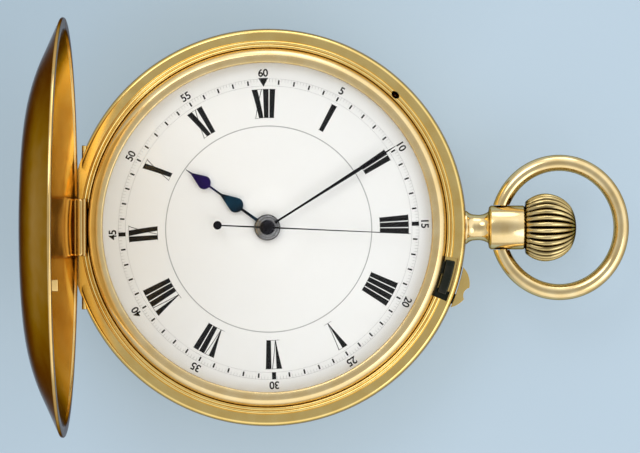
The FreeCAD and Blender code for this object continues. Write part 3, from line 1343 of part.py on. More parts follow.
def winding_train():
    """Winding pinion, crown wheel with its contrate teeth, transmission and ratchet wheels."""
    clearance = worth("running_clearance")
    square = worth("stem_square") / 2 + clearance
    tip, root = worth("winding_tip"), worth("winding_tip") - 0.45
    corners = [Vector(-square, -square, 0), Vector(square, -square, 0),
               Vector(square, square, 0), Vector(-square, square, 0)]
    hole = Part.makePolygon(corners + corners[:1])
    low, high = worth("winding_x") - 0.35, worth("winding_x") + 0.35
    pinion = slab([ring_wire(root), hole], low, high)
    for index in range(TOOTH_COUNTS["winding"]):
        tooth = Part.makeBox(tip - root + 0.1, 0.2, high - low, Vector(root - 0.1, -0.1, low))
        tooth.rotate(Vector(), Vector(0, 0, 1), 360 / TOOTH_COUNTS["winding"] * index)
        pinion = pinion.fuse(tooth)
    item = as_feature("winding_pinion", pinion.removeSplitter())
    item.Placement = Placement(Vector(0, 0, worth("stem_height")), Rotation(Vector(0, 1, 0), 90))
    item.setExpression(".Placement.Base.z", bound("stem_height"))

    floor = worth("contrate_floor")
    ring_inner, ring_outer = worth("contrate_radius") - 0.35, worth("contrate_radius") + 0.35
    contrate = slab([ring_wire(ring_outer), ring_wire(0.45)], floor - 0.3, floor)
    for index in range(TOOTH_COUNTS["contrate"]):
        tooth = Part.makeBox(ring_outer - ring_inner - 0.02, 0.2, 0.45,
                             Vector(ring_inner, -0.1, floor))
        tooth.rotate(Vector(), Vector(0, 0, 1), 360 / TOOTH_COUNTS["contrate"] * (index + 0.5))
        contrate = contrate.fuse(tooth)
    low, high = worth("back_wheel_bottom"), worth("back_wheel_top")
    to_next = worth("transmission_angle")
    spur = slab([toothed_wire(TOOTH_COUNTS["crown_spur"], worth("crown_spur_pitch"),
                              gap_phase(TOOTH_COUNTS["crown_spur"], to_next))], low, high)
    arbor = rod(0.45, high, floor)
    pivot = rod(worth("pivot_radius") + 0.1, floor, worth("plate_bottom") + 0.4)
    crown_wheel = spur.fuse([arbor, pivot, contrate]).removeSplitter()
    as_feature("crown_wheel", crown_wheel, "crown_wheel_x", "0")
    phase = to_next + 180
    wheel_shape = slab([toothed_wire(TOOTH_COUNTS["transmission"], worth("ratchet_pitch"), phase),
                        ring_wire(worth("screw_radius") + clearance)], low, high)
    as_feature("transmission_wheel", wheel_shape, "transmission_x", "transmission_y")
    onward = direction("transmission_x", "transmission_y", "barrel_x", "barrel_y")
    steps_round = (onward - phase) / (360 / TOOTH_COUNTS["transmission"])
    slip = (steps_round - math.floor(steps_round)) * 360 / TOOTH_COUNTS["transmission"]
    ratchet_phase = gap_phase(TOOTH_COUNTS["ratchet"], onward + 180) + slip
    wheel_shape = slab([toothed_wire(TOOTH_COUNTS["ratchet"], worth("ratchet_pitch"), ratchet_phase),
                        ring_wire(worth("barrel_arbor"))], low, high)
    as_feature("ratchet_wheel", wheel_shape, "barrel_x", "barrel_y")


def click_and_spring():
    """The click beside the ratchet wheel and the spring behind it."""
    low, high = "back_wheel_bottom", "back_wheel_top"
    click = new_body("click")
    raise_up(click, "click_bar", [capsule("click_x", "click_y", "click_nose_x", "click_nose_y",
                                          "0.45")], low, high)
    cut_down(click, "click_hole", [circle("click_x", "click_y",
                                          "pivot_radius * 2 + running_clearance")], low, high)
    spring = new_body("click_spring")
    raise_up(spring, "spring_bar", [capsule("click_x - 1.2", "click_y + 1.1",
                                            "click_x - 5.4", "click_y + 0.2", "0.14")],
             low, high)


def balance_and_lever():
    """The balance with its staff and hairspring, and the pallet lever."""
    radius, rim_width = worth("balance_radius"), 0.75
    low, high = worth("balance_bottom"), worth("balance_top")
    arm = slab([ring_wire(radius), ring_wire(worth("arbor_radius") + 0.07)]
               + windows(0.95, radius - rim_width, 2, 0.4), low + 0.2, low + 0.42)
    rim = tube(radius, radius - rim_width, low, high)
    screw_bodies = []
    for index in range(12):
        peg = Part.makeCylinder(0.22, worth("balance_screw") + 0.2,
                                Vector(radius - 0.2, 0, (low + high) / 2), Vector(1, 0, 0))
        peg.rotate(Vector(), Vector(0, 0, 1), 15 + 30 * index)
        screw_bodies.append(peg)
    as_feature("balance_wheel", arm.fuse([rim] + screw_bodies).removeSplitter(),
               "balance_x", "balance_y")
    roller = worth("roller_level")
    lever_low = worth("escape_level")
    pin_place = on_circle(0.75, worth("escape_angle") + 180)
    pin = Part.makeCylinder(0.12, lever_low - 0.06 - roller,
                            Vector(pin_place.x, pin_place.y, roller))
    staff = rod(worth("arbor_radius") + 0.07, worth("upper_top") + 0.02,
                worth("plate_bottom") - 0.05)
    pivots = rod(worth("pivot_radius"), worth("upper_bottom") + 0.1, worth("plate_top") - 0.1)
    staff = staff.fuse([pivots, rod(0.95, roller, roller + 0.15), pin])
    as_feature("balance_staff", staff.removeSplitter(), "balance_x", "balance_y")
    as_feature("hairspring", spiral_strip(worth("arbor_radius") + 0.2, 2.9, 10, 0.05,
                                          worth("upper_top") + 0.03,
                                          worth("balance_bottom") + 0.12),
               "balance_x", "balance_y")

    reach = worth("balance_distance") - worth("lever_distance") - 0.75
    back = worth("escape_radius") * 1.18
    tip = worth("escape_radius") + 0.1
    high = lever_low + 0.22
    pieces = [rod(0.5, lever_low, high), Part.makeBox(reach - 0.3, 0.36, 0.22,
                                                      Vector(0, -0.18, lever_low))]
    for side in (1, -1):
        stone = on_circle(tip + 0.22, 32 * side) - Vector(back, 0, 0)
        arm = Part.makeBox(stone.Length, 0.3, 0.22, Vector(0, -0.15, lever_low))
        arm.rotate(Vector(), Vector(0, 0, 1), math.degrees(math.atan2(stone.y, stone.x)))
        block = Part.makeBox(0.4, 0.3, 0.22, Vector(tip, -0.15, lever_low))
        block.rotate(Vector(), Vector(0, 0, 1), 32 * side)
        block.translate(Vector(-back, 0, 0))
        horn = Part.makeBox(0.45, 0.2, 0.22, Vector(reach - 0.35, 0.1 * side - 0.1, lever_low))
        horn.translate(Vector(0, 0.12 * side, 0))
        pieces += [arm, block, horn]
    lever = pieces[0].fuse(pieces[1:] + [rod(worth("pivot_radius"), lever_low - 0.55,
                                             worth("plate_top") - 0.1)])
    lever.rotate(Vector(), Vector(0, 0, 1), worth("escape_angle"))
    as_feature("pallet_lever", lever.removeSplitter(), "lever_x", "lever_y")

    teeth = TOOTH_COUNTS["escape"]
    points = []
    for index in range(teeth):
        start = 360 / teeth * index
        points.append(on_circle(worth("escape_radius") - 0.75, start))
        points.append(on_circle(worth("escape_radius"), start + 6))
        points.append(on_circle(worth("escape_radius") - 0.08, start + 9.5))
        points.append(on_circle(worth("escape_radius") - 0.75, start + 8))
    outline = Part.makePolygon(points + points[:1])
    level = worth("escape_level")
    as_feature("escape_wheel", slab([outline, ring_wire(worth("arbor_radius"))]
                                    + windows(0.6, worth("escape_radius") - 1.05, 4, 0.18),
                                    level, level + worth("wheel_thickness")),
               "escape_x", "escape_y")


# ---------------------------------------------------------------- plates and cocks

def arbor_places():
    """The arbors that run in both plates."""
    return [("second_x", "second_y"), ("third_x", "third_y"), ("escape_x", "escape_y")]


def lower_jewels():
    """The pivots that run in a jewel of the pillar plate."""
    return [("third_x", "third_y"), ("escape_x", "escape_y"), ("lever_x", "lever_y"),
            ("balance_x", "balance_y")]


def pillar_plate():
    """The plate under the dial: rim for the dial, bores, slots for the stem and the whip."""
    body = new_body("pillar_plate")
    outer = "bore_radius - plate_clearance"
    raise_up(body, "plate_disc", [circle("0", "0", outer)], "plate_bottom", "plate_top")
    rim = [circle("0", "0", outer), circle("0", "0", "bore_radius - plate_rim")]
    raise_up(body, "dial_rim", rim, "plate_top", "dial_bottom")
    low, high = "plate_bottom", "dial_bottom"
    cut_down(body, "stem_slot", [rectangle("winding_x", "-stem_radius - plate_clearance",
                                           "case_radius", "stem_radius + plate_clearance")],
             low, high)
    cut_down(body, "winding_pocket", [rectangle("winding_x - 0.6", "-winding_tip - 0.15",
                                                "winding_x + 0.6", "winding_tip + 0.15")],
             low, high)
    cut_down(body, "stem_end_slot", [rectangle("winding_x - 2.2", "-stem_square",
                                               "winding_x", "stem_square")], low, high)
    turn_room = "slide_half + slide_travel + 0.6"
    notch = sector("tongue_radius - 1", "case_radius", f"slide_middle - ({turn_room})",
                   f"slide_middle + ({turn_room})")
    cut_down(body, "tongue_notch", [notch], "plate_top", high)
    cut_down(body, "whip_slot", [circle("whip_x", "whip_y", "0.9")], low, high)
    holes = [circle(x, y, "jewel_radius") for x, y in lower_jewels()]
    holes.append(circle("second_x", "second_y", "pivot_radius + running_clearance"))
    holes.append(circle("0", "0", "centre_tube"))
    cut_down(body, "plate_bores", holes, low, high)
    blind = [circle("minute_x", "minute_y", "stud_radius")]
    cut_down(body, "minute_stud_hole", blind, "plate_top - 0.5", "plate_top")
    cut_down(body, "stop_stud_hole", [circle("stop_pivot_x", "stop_pivot_y", "pin_radius")],
             "plate_top - 0.5", "plate_top")
    pivots = [circle("barrel_x", "barrel_y", "barrel_arbor + running_clearance"),
              circle("crown_wheel_x", "0", "pivot_radius + 0.1 + running_clearance")]
    cut_down(body, "blind_pivots", pivots, "plate_bottom", "plate_bottom + 0.45")
    feet = [circle(f"foot_circle * cos({angle})", f"foot_circle * sin({angle})", "foot_radius")
            for angle in DIAL_FOOT_ANGLES]
    cut_down(body, "dial_foot_holes", feet, low, high)
    spots = [circle(f"case_screw_circle * cos({angle})", f"case_screw_circle * sin({angle})",
                    "screw_radius") for angle in CASE_SCREW_ANGLES]
    cut_down(body, "case_screw_holes", spots, low, "plate_bottom + 0.85")


def three_quarter_plate():
    """The upper plate, cut away round the balance and its cock."""
    body = new_body("three_quarter_plate")
    low, high = "upper_bottom", "upper_top"
    raise_up(body, "upper_disc", [circle("0", "0", "upper_plate_radius")], low, high)
    cut_down(body, "balance_cutaway", [circle("balance_x", "balance_y", "balance_cutout")],
             low, high)
    across_x = "(balance_cutout - 0.6) * sin(escape_angle)"
    across_y = "(balance_cutout - 0.6) * cos(escape_angle)"
    outward = [(f"{reach} * balance_x {turned} {across_x}", f"{reach} * balance_y {back} {across_y}")
               for reach, turned, back in ((1, "+", "-"), (3, "+", "-"), (3, "-", "+"), (1, "-", "+"))]
    cut_down(body, "edge_cutaway", [outward], low, high)
    cut_down(body, "cock_seat", [capsule("balance_x", "balance_y", "cock_foot_x", "cock_foot_y",
                                         "cock_half_width + plate_clearance")], low, high)
    holes = [circle(x, y, "jewel_radius") for x, y in arbor_places() + [("0", "0")]]
    holes.append(circle("barrel_x", "barrel_y", "barrel_arbor + running_clearance"))
    holes.append(circle("crown_wheel_x", "0", "0.45 + running_clearance"))
    holes.append(circle("transmission_x", "transmission_y", "screw_radius"))
    holes.append(circle("click_x", "click_y", "pivot_radius * 2"))
    holes += [circle(f"pillar_circle * cos({angle})", f"pillar_circle * sin({angle})",
                     "screw_radius") for angle in PILLAR_ANGLES]
    cut_down(body, "upper_bores", holes, low, high)


def balance_cock():
    """The cock over the balance, with its foot standing on the pillar plate."""
    body = new_body("balance_cock")
    arm = capsule("balance_x", "balance_y", "cock_foot_x", "cock_foot_y", "cock_half_width")
    raise_up(body, "cock_arm", [arm], "upper_bottom", "upper_top")
    raise_up(body, "cock_foot", [circle("cock_foot_x", "cock_foot_y", "cock_half_width - 0.1")],
             "upper_top", "plate_bottom")
    holes = [circle("balance_x", "balance_y", "jewel_radius")]
    cut_down(body, "cock_jewel_hole", holes, "upper_bottom", "upper_top")
    screw_hole = [circle("cock_foot_x", "cock_foot_y", "screw_radius")]
    cut_down(body, "cock_screw_hole", screw_hole, "upper_bottom", "upper_top + 0.95")


def lever_bridge():
    """The small bridge that holds the back pivot of the lever."""
    body = new_body("lever_bridge")
    reach = "2.5"
    ends = [(f"lever_x + {sign}{reach} * cos(escape_angle + 90)",
             f"lever_y + {sign}{reach} * sin(escape_angle + 90)") for sign in ("", "-")]
    bar = capsule(*ends[0], *ends[1], "0.55")
    raise_up(body, "bridge_bar", [bar], "escape_level - 0.55", "escape_level - 0.25")
    feet = [circle(x, y, "0.5") for x, y in ends]
    raise_up(body, "bridge_feet", [feet[0]], "escape_level - 0.35", "plate_bottom")
    raise_up(body, "bridge_foot", [feet[1]], "escape_level - 0.35", "plate_bottom")
    cut_down(body, "bridge_pivot", [circle("lever_x", "lever_y",
                                           "pivot_radius + running_clearance")],
             "escape_level - 0.7", "escape_level - 0.2")


def pillars_and_screws():
    """Pillars between the plates and every screw of the movement."""
    spots = [(f"pillar_circle * cos({angle})", f"pillar_circle * sin({angle})")
             for angle in PILLAR_ANGLES]
    posts = []
    for index, (x, y) in enumerate(spots):
        post = cylinder(f"pillar_post_{index}", "pillar_radius", "train_space",
                        (x, y, "upper_top"))
        bore = cylinder(f"pillar_bore_{index}", "screw_radius", "1",
                        (x, y, "upper_top"))
        cut = doc.addObject("Part::Cut", f"pillar_{index}")
        cut.Base = post
        cut.Tool = bore
        posts.append(cut)
    as_group("pillars", posts)
    plate_spots = [(x, y, "upper_bottom") for x, y in spots]
    plate_spots.append(("cock_foot_x", "cock_foot_y", "upper_bottom"))
    thin_head = "screw_head_height - 0.1"
    long_screws = screws("plate_screw", plate_spots, "bridge_thickness + 0.9",
                         head_height=thin_head)
    wheel_spot = ("transmission_x", "transmission_y", "back_wheel_bottom")
    short_screws = screws("wheel_screw", [wheel_spot],
                          "upper_top - back_wheel_bottom - 0.1", head_height=thin_head)
    as_group("plate_screws", long_screws + short_screws)
    places_round = [(f"case_screw_circle * cos({angle})", f"case_screw_circle * sin({angle})",
                     "plate_bottom") for angle in CASE_SCREW_ANGLES]
    as_group("case_screws", screws("case_screw", places_round, "0.8", head="case_screw_head",
                                   head_height="0.4"))
    as_group("studs", [
        cylinder("click_post", "pivot_radius * 2", "back_wheel_thickness + back_wheel_gap + 0.5",
                 ("click_x", "click_y", "back_wheel_bottom")),
        cylinder("stop_post", "pin_radius", "1",
                 ("stop_pivot_x", "stop_pivot_y", "plate_top - 0.5")),
        cylinder("minute_post", "stud_radius", "motion_space + 0.3",
                 ("minute_x", "minute_y", "plate_top - 0.5")),
    ])


def jewels():
    """Every jewel hole, in the pillar plate, the upper plate and the cock."""
    rings = []
    spots = [(x, y, "plate_bottom", "plate_thickness") for x, y in lower_jewels()]
    spots += [(x, y, "upper_bottom", "bridge_thickness")
              for x, y in arbor_places() + [("0", "0"), ("balance_x", "balance_y")]]
    for index, (x, y, low, length) in enumerate(spots):
        stone = cylinder(f"jewel_{index}", "jewel_radius", length, (x, y, low))
        bore = cylinder(f"jewel_bore_{index}", "pivot_radius + running_clearance", length,
                        (x, y, low))
        ring = doc.addObject("Part::Cut", f"jewel_ring_{index}")
        ring.Base = stone
        ring.Tool = bore
        rings.append(ring)
    end_stone = cylinder("end_stone", "jewel_radius", "back_wheel_gap + 0.3",
                         ("balance_x", "balance_y", "back_wheel_top - 0.3"))
    as_group("jewels", rings + [end_stone])


def regulator():
    """The index that turns about the balance staff on the back of the cock."""
    body = new_body("regulator")
    low, high = "back_wheel_top - 0.3", "back_wheel_top"
    end = ("balance_x + 4.6 * cos(cock_angle + 90)", "balance_y + 4.6 * sin(cock_angle + 90)")
    raise_up(body, "index_ring", [circle("balance_x", "balance_y", "1.35")], low, high)
    raise_up(body, "index_arm", [capsule("balance_x", "balance_y", *end, "0.32")], low, high)
    cap_hole = circle("balance_x", "balance_y", "jewel_radius + running_clearance")
    cut_down(body, "index_hole", [cap_hole], "back_wheel_bottom", high)


def stop_lever():
    """The lever under the dial whose whip reaches down beside the balance."""
    body = new_body("stop_lever")
    low, high = "plate_top + running_clearance", "plate_top + running_clearance + 0.19"
    raise_up(body, "long_arm", [capsule("stop_pivot_x", "stop_pivot_y",
                                        "tongue_x + 1.2 * cos(stop_reach_angle)",
                                        "tongue_y + 1.2 * sin(stop_reach_angle)", "0.75")],
             low, high)
    raise_up(body, "short_arm", [capsule("stop_pivot_x", "stop_pivot_y", "whip_x", "whip_y",
                                         "0.5")], low, high)
    slot = capsule("tongue_x - 0.75 * cos(stop_reach_angle)",
                   "tongue_y - 0.75 * sin(stop_reach_angle)",
                   "tongue_x + 0.75 * cos(stop_reach_angle)",
                   "tongue_y + 0.75 * sin(stop_reach_angle)", "pin_radius + 0.17")
    cut_down(body, "pin_slot", [slot], low, high)
    cut_down(body, "pivot_hole", [circle("stop_pivot_x", "stop_pivot_y",
                                         "pin_radius + running_clearance")], low, high)
    raise_up(body, "whip", [circle("whip_x", "whip_y", "pin_radius")], "balance_bottom + 0.1",
             high)


# ---------------------------------------------------------------- build and write

band_of_case()
front_cover()
back_cover()
dust_cover()
hinge_pins()
bezel_and_crystal()
pendant()
crown()
winding_stem()
bow()
bow_screws()
case_springs()
stop_slide()
dial_and_feet()
hands()
going_train()
motion_work()
winding_train()
click_and_spring()
balance_and_lever()
pillar_plate()
three_quarter_plate()
balance_cock()
lever_bridge()
pillars_and_screws()
jewels()
regulator()
stop_lever()
doc.recompute()

for item in doc.Objects:
    if "Invalid" in item.State or "Error" in item.State:
        raise RuntimeError(f"{item.Name} failed: {item.State}")
os.makedirs("parts", exist_ok=True)
for label, item in parts.items():
    shape = item.Shape
    if shape.isNull() or not shape.isValid() or not shape.Solids:
        raise RuntimeError(f"{label} has no valid solid")
    shape.exportStep(f"parts/{label}.step")
    print(label, len(shape.Solids), round(shape.Volume, 3))
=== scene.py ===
# A gold hunter-case watch with centre seconds, lying dial up with its front cover open.
import json
import math
import bmesh
import bpy
from mathutils import Matrix, Vector

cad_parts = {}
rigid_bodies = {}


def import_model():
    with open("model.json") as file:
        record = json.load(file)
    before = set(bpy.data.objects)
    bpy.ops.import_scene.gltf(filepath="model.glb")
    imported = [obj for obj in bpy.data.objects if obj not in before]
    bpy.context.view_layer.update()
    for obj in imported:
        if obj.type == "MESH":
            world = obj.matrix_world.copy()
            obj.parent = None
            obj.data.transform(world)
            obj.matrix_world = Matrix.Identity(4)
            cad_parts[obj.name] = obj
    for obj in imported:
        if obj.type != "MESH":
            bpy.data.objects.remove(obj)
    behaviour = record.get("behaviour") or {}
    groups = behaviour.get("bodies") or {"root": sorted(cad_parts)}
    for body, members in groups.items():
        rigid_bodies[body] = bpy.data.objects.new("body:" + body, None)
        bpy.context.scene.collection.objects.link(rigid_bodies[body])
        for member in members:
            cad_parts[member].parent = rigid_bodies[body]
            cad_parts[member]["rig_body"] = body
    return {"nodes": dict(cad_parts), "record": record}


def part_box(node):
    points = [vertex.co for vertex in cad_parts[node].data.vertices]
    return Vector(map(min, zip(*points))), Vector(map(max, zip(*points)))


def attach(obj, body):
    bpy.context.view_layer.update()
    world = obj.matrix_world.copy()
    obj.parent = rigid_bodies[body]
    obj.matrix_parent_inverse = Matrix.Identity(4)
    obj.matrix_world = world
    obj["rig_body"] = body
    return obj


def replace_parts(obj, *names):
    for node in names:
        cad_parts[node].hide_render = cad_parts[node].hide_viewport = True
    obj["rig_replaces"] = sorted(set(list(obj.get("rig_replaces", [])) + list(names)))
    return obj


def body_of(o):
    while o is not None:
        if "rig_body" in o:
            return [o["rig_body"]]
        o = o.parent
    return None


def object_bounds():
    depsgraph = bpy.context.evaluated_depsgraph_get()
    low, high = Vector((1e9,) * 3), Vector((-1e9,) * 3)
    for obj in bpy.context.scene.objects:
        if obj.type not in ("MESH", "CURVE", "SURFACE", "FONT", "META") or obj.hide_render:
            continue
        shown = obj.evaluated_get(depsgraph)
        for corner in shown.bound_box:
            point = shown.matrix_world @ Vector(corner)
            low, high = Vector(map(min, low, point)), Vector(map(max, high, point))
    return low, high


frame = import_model()
nodes = frame["nodes"]
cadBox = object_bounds()
mm = 0.001
rest, rim = cadBox[0].z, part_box("case_middle")[1].z
stemHeight = 8.4   # the axis of stem, crown and bow
spare = 2          # how far a cutter runs past what it cuts


# profiles and meshes: lengths are millimetres until toMesh

def reach(node):
    low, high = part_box(node)
    return (high.y - low.y) / 2 / mm


def bottom(node):
    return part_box(node)[0].z / mm


def top(node):
    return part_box(node)[1].z / mm


def bent(start, end, radius, steps):
    # points after start on the short arc to end, turning left for a positive radius
    a, b = Vector(start), Vector(end)
    chord = b - a
    side = Vector((-chord.y, chord.x)).normalized() * math.copysign(1, radius)
    rise = math.sqrt(max(radius * radius - (chord.length / 2) ** 2, 0))
    centre = (a + b) / 2 + side * rise
    first = math.atan2(a.y - centre.y, a.x - centre.x)
    last = math.atan2(b.y - centre.y, b.x - centre.x)
    turn = (last - first + math.pi) % (2 * math.pi) - math.pi
    return [(centre.x + abs(radius) * math.cos(first + turn * i / steps),
             centre.y + abs(radius) * math.sin(first + turn * i / steps))
            for i in range(1, steps)] + [tuple(end)]


def outline(corners, steps=12, closed=True):
    # a corner's third entry is the radius of the arc that leaves it
    points = []
    for index, corner in enumerate(corners):
        if not points:
            points.append(tuple(corner[:2]))
        last = index == len(corners) - 1
        if last and not closed:
            break
        after = corners[(index + 1) % len(corners)][:2]
        if len(corner) > 2 and corner[2]:
            points += bent(corner[:2], after, corner[2], steps)
        else:
            points.append(tuple(after))
    if closed:
        points.pop()
    return points


def arcThrough(run, rise):
    # the radius of an arc that rises so far over half its chord
    return (run * run + rise * rise) / (2 * rise)


def spun(corners, around="Z", segments=240, steps=12, closed=True, soft=0.0, softSegments=2):
    # a section of (radius, height) points turned once round its axis
    bm = bmesh.new()
    points = outline(corners, steps, closed)
    verts = [bm.verts.new((r, 0, h)) for r, h in points]
    pairs = zip(verts, verts[1:] + verts[:1]) if closed else zip(verts, verts[1:])
    edges = [bm.edges.new(pair) for pair in pairs]
    bmesh.ops.spin(bm, geom=verts + edges, cent=(0, 0, 0), axis=(0, 0, 1),
                   angle=2 * math.pi, steps=segments, use_merge=True)
    bmesh.ops.remove_doubles(bm, verts=bm.verts, dist=1e-5)
    bmesh.ops.recalc_face_normals(bm, faces=bm.faces)
    if soft:
        soften(bm, soft, softSegments)
    if around == "X":
        bmesh.ops.rotate(bm, verts=bm.verts, matrix=Matrix.Rotation(math.pi / 2, 3, "Y"))
    return bm


def soften(bm, width, segments=2, angle=28):
    sharp = [e for e in bm.edges if len(e.link_faces) == 2
             and e.calc_face_angle() > math.radians(angle)]
    bmesh.ops.bevel(bm, geom=sharp, offset=width, affect="EDGES", segments=segments,
                    profile=0.5, material=-1, clamp_overlap=True)


def box(low, high):
    bm = bmesh.new()
    bmesh.ops.create_cube(bm, size=1)
    bmesh.ops.scale(bm, verts=bm.verts, vec=Vector(high) - Vector(low))
    return movedBy(bm, (Vector(low) + Vector(high)) / 2)


def slab(corners, low, high, steps=16):
    # a flat piece drawn in plan
    bm = bmesh.new()
    face = bm.faces.new([bm.verts.new((x, y, low)) for x, y in outline(corners, steps)])
    return pushed(bm, [face], high - low)


def polar(radius, degrees):
    return (radius * math.cos(math.radians(degrees)), radius * math.sin(math.radians(degrees)))


def sectorPlan(inner, outer, start, end):
    return [polar(inner, start), (*polar(outer, start), outer),
            polar(outer, end), (*polar(inner, end), -inner)]


def turnedBy(bm, degrees, axis="Z"):
    turn = Matrix.Rotation(math.radians(degrees), 3, axis)
    bmesh.ops.rotate(bm, verts=bm.verts, matrix=turn)
    return bm


def movedBy(bm, step):
    bmesh.ops.translate(bm, verts=bm.verts, vec=step)
    return bm


def pushed(bm, faces, height):
    # faces drawn out into a solid of that height
    made = bmesh.ops.extrude_face_region(bm, geom=faces)
    verts = [item for item in made["geom"] if isinstance(item, bmesh.types.BMVert)]
    bmesh.ops.translate(bm, verts=verts, vec=(0, 0, height))
    bmesh.ops.recalc_face_normals(bm, faces=bm.faces)
    return bm


def rod(start, end, radius, segments=40):
    a, b = Vector(start), Vector(end)
    bm = bmesh.new()
    bmesh.ops.create_cone(bm, cap_ends=True, segments=segments, radius1=radius, radius2=radius,
                          depth=(b - a).length)
    turn = Vector((0, 0, 1)).rotation_difference(b - a).to_matrix()
    bmesh.ops.rotate(bm, verts=bm.verts, matrix=turn)
    return movedBy(bm, (a + b) / 2)


def rodAcross(x, z, low, high, radius, segments=40):
    return rod((x, low, z), (x, high, z), radius, segments)


def joined(parts):
    whole = bmesh.new()
    for part in parts:
        mesh = bpy.data.meshes.new("part")
        part.to_mesh(mesh)
        part.free()
        whole.from_mesh(mesh)
        bpy.data.meshes.remove(mesh)
    return whole


def toMesh(name, bm, smooth=30):
    bmesh.ops.scale(bm, verts=bm.verts, vec=(mm, mm, mm))
    mesh = bpy.data.meshes.new(name)
    bm.to_mesh(mesh)
    bm.free()
    return shaded(mesh, smooth)


def shaded(mesh, smooth=30):
    mesh.shade_smooth()
    mesh.set_sharp_from_angle(angle=math.radians(smooth))
    return mesh


def linked(name, data):
    item = bpy.data.objects.new(name, data)
    bpy.context.scene.collection.objects.link(item)
    return item


def piece(name, bm, body, finish, replaced=(), cutters=(), added=(), smooth=30):
    item = linked(name, toMesh(name, bm, smooth))
    for operation, tools in (("UNION", added), ("DIFFERENCE", cutters)):
        for tool in tools:
            addedTo(item, tool, operation)
    shaded(item.data, smooth)
    item.data.materials.clear()
    item.data.materials.append(materials[finish])
    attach(item, body)
    if replaced:
        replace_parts(item, *replaced)
    return item


def addedTo(item, tool, operation):
    other = linked("tool", toMesh("tool", tool))
    cut = item.modifiers.new("cut", "BOOLEAN")
    cut.operation = operation
    cut.object = other
    cut.solver = "EXACT"
    applied(item)
    bpy.data.objects.remove(other)
    shaded(item.data)


def applied(item):
    view = bpy.context.evaluated_depsgraph_get()
    mesh = bpy.data.meshes.new_from_object(item.evaluated_get(view))
    old = item.data
    item.modifiers.clear()
    item.data = mesh
    bpy.data.meshes.remove(old)


def mergedCopy(node):
    # a CAD node's mesh with its loose triangles joined, in millimetres
    bm = bmesh.new()
    bm.from_mesh(nodes[node].data)
    bmesh.ops.scale(bm, verts=bm.verts, vec=(1 / mm, 1 / mm, 1 / mm))
    bmesh.ops.remove_doubles(bm, verts=bm.verts, dist=1e-4)
    return bm


# shader groups: effects that several finishes share

def group(name, inputs, outputs):
    tree = bpy.data.node_groups.new(name, "ShaderNodeTree")
    for label, value in inputs.items():
        socket = tree.interface.new_socket(label, in_out="INPUT", socket_type="NodeSocketFloat")
        socket.default_value = value
    for label, kind in outputs.items():
        tree.interface.new_socket(label, in_out="OUTPUT", socket_type=kind)
    given, out = tree.nodes.new("NodeGroupInput"), tree.nodes.new("NodeGroupOutput")
    return tree, given.outputs, out.inputs


def fill(tree, sockets, values):
    # a value is another node's output, a number or a colour
    for label, value in values.items():
        if isinstance(value, bpy.types.NodeSocket):
            tree.links.new(value, sockets[label])
        elif isinstance(value, tuple) and len(value) < len(sockets[label].default_value):
            sockets[label].default_value = (*value, 1)
        else:
            sockets[label].default_value = value


def node(tree, kind, values=None, **settings):
    made = tree.nodes.new(kind)
    for name, value in settings.items():
        setattr(made, name, value)
    fill(tree, made.inputs, values or {})
    return made.outputs


def maths(tree, operation, first, second=0):
    return node(tree, "ShaderNodeMath", {0: first, 1: second}, operation=operation)[0]


def blend(tree, factor, first, second):
    return node(tree, "ShaderNodeMix", {"Factor": factor, 6: first, 7: second},
                data_type="RGBA")[2]


def ranged(tree, value, fromLow, fromHigh, toLow=0, toHigh=1):
    return node(tree, "ShaderNodeMapRange", {"Value": value, "From Min": fromLow,
                "From Max": fromHigh, "To Min": toLow, "To Max": toHigh})[0]


def noise(tree, vector, scale, detail):
    return node(tree, "ShaderNodeTexNoise",
                {"Vector": vector, "Scale": scale, "Detail": detail})["Fac"]


def objectCoords(tree):
    return node(tree, "ShaderNodeTexCoord")["Object"]


def offAxis(tree):
    # distance from the watch's own axis
    flat = node(tree, "ShaderNodeVectorMath", {0: objectCoords(tree), 1: (1, 1, 0)},
                operation="MULTIPLY")[0]
    return node(tree, "ShaderNodeVectorMath", {0: flat}, operation="LENGTH")["Value"]


wearGrain = {"waveScale": 90, "mottleScale": 420, "turnStep": (0.2, 0.7), "turnStart": (0.3, 0.2),
             "stretches": ((9000, 260, 700), (320, 8000, 600), (5200, 4100, 200)),
             "hairFrom": 0.66, "hairTo": 0.74, "mottleShare": 0.6, "scratchDepth": -0.004,
             "bump": 0.25, "bumpDepth": 0.0006}
frostGrain = {"cloudScale": 260, "fineShare": 0.4, "cloudShare": 0.6, "bumpDepth": 0.00003}


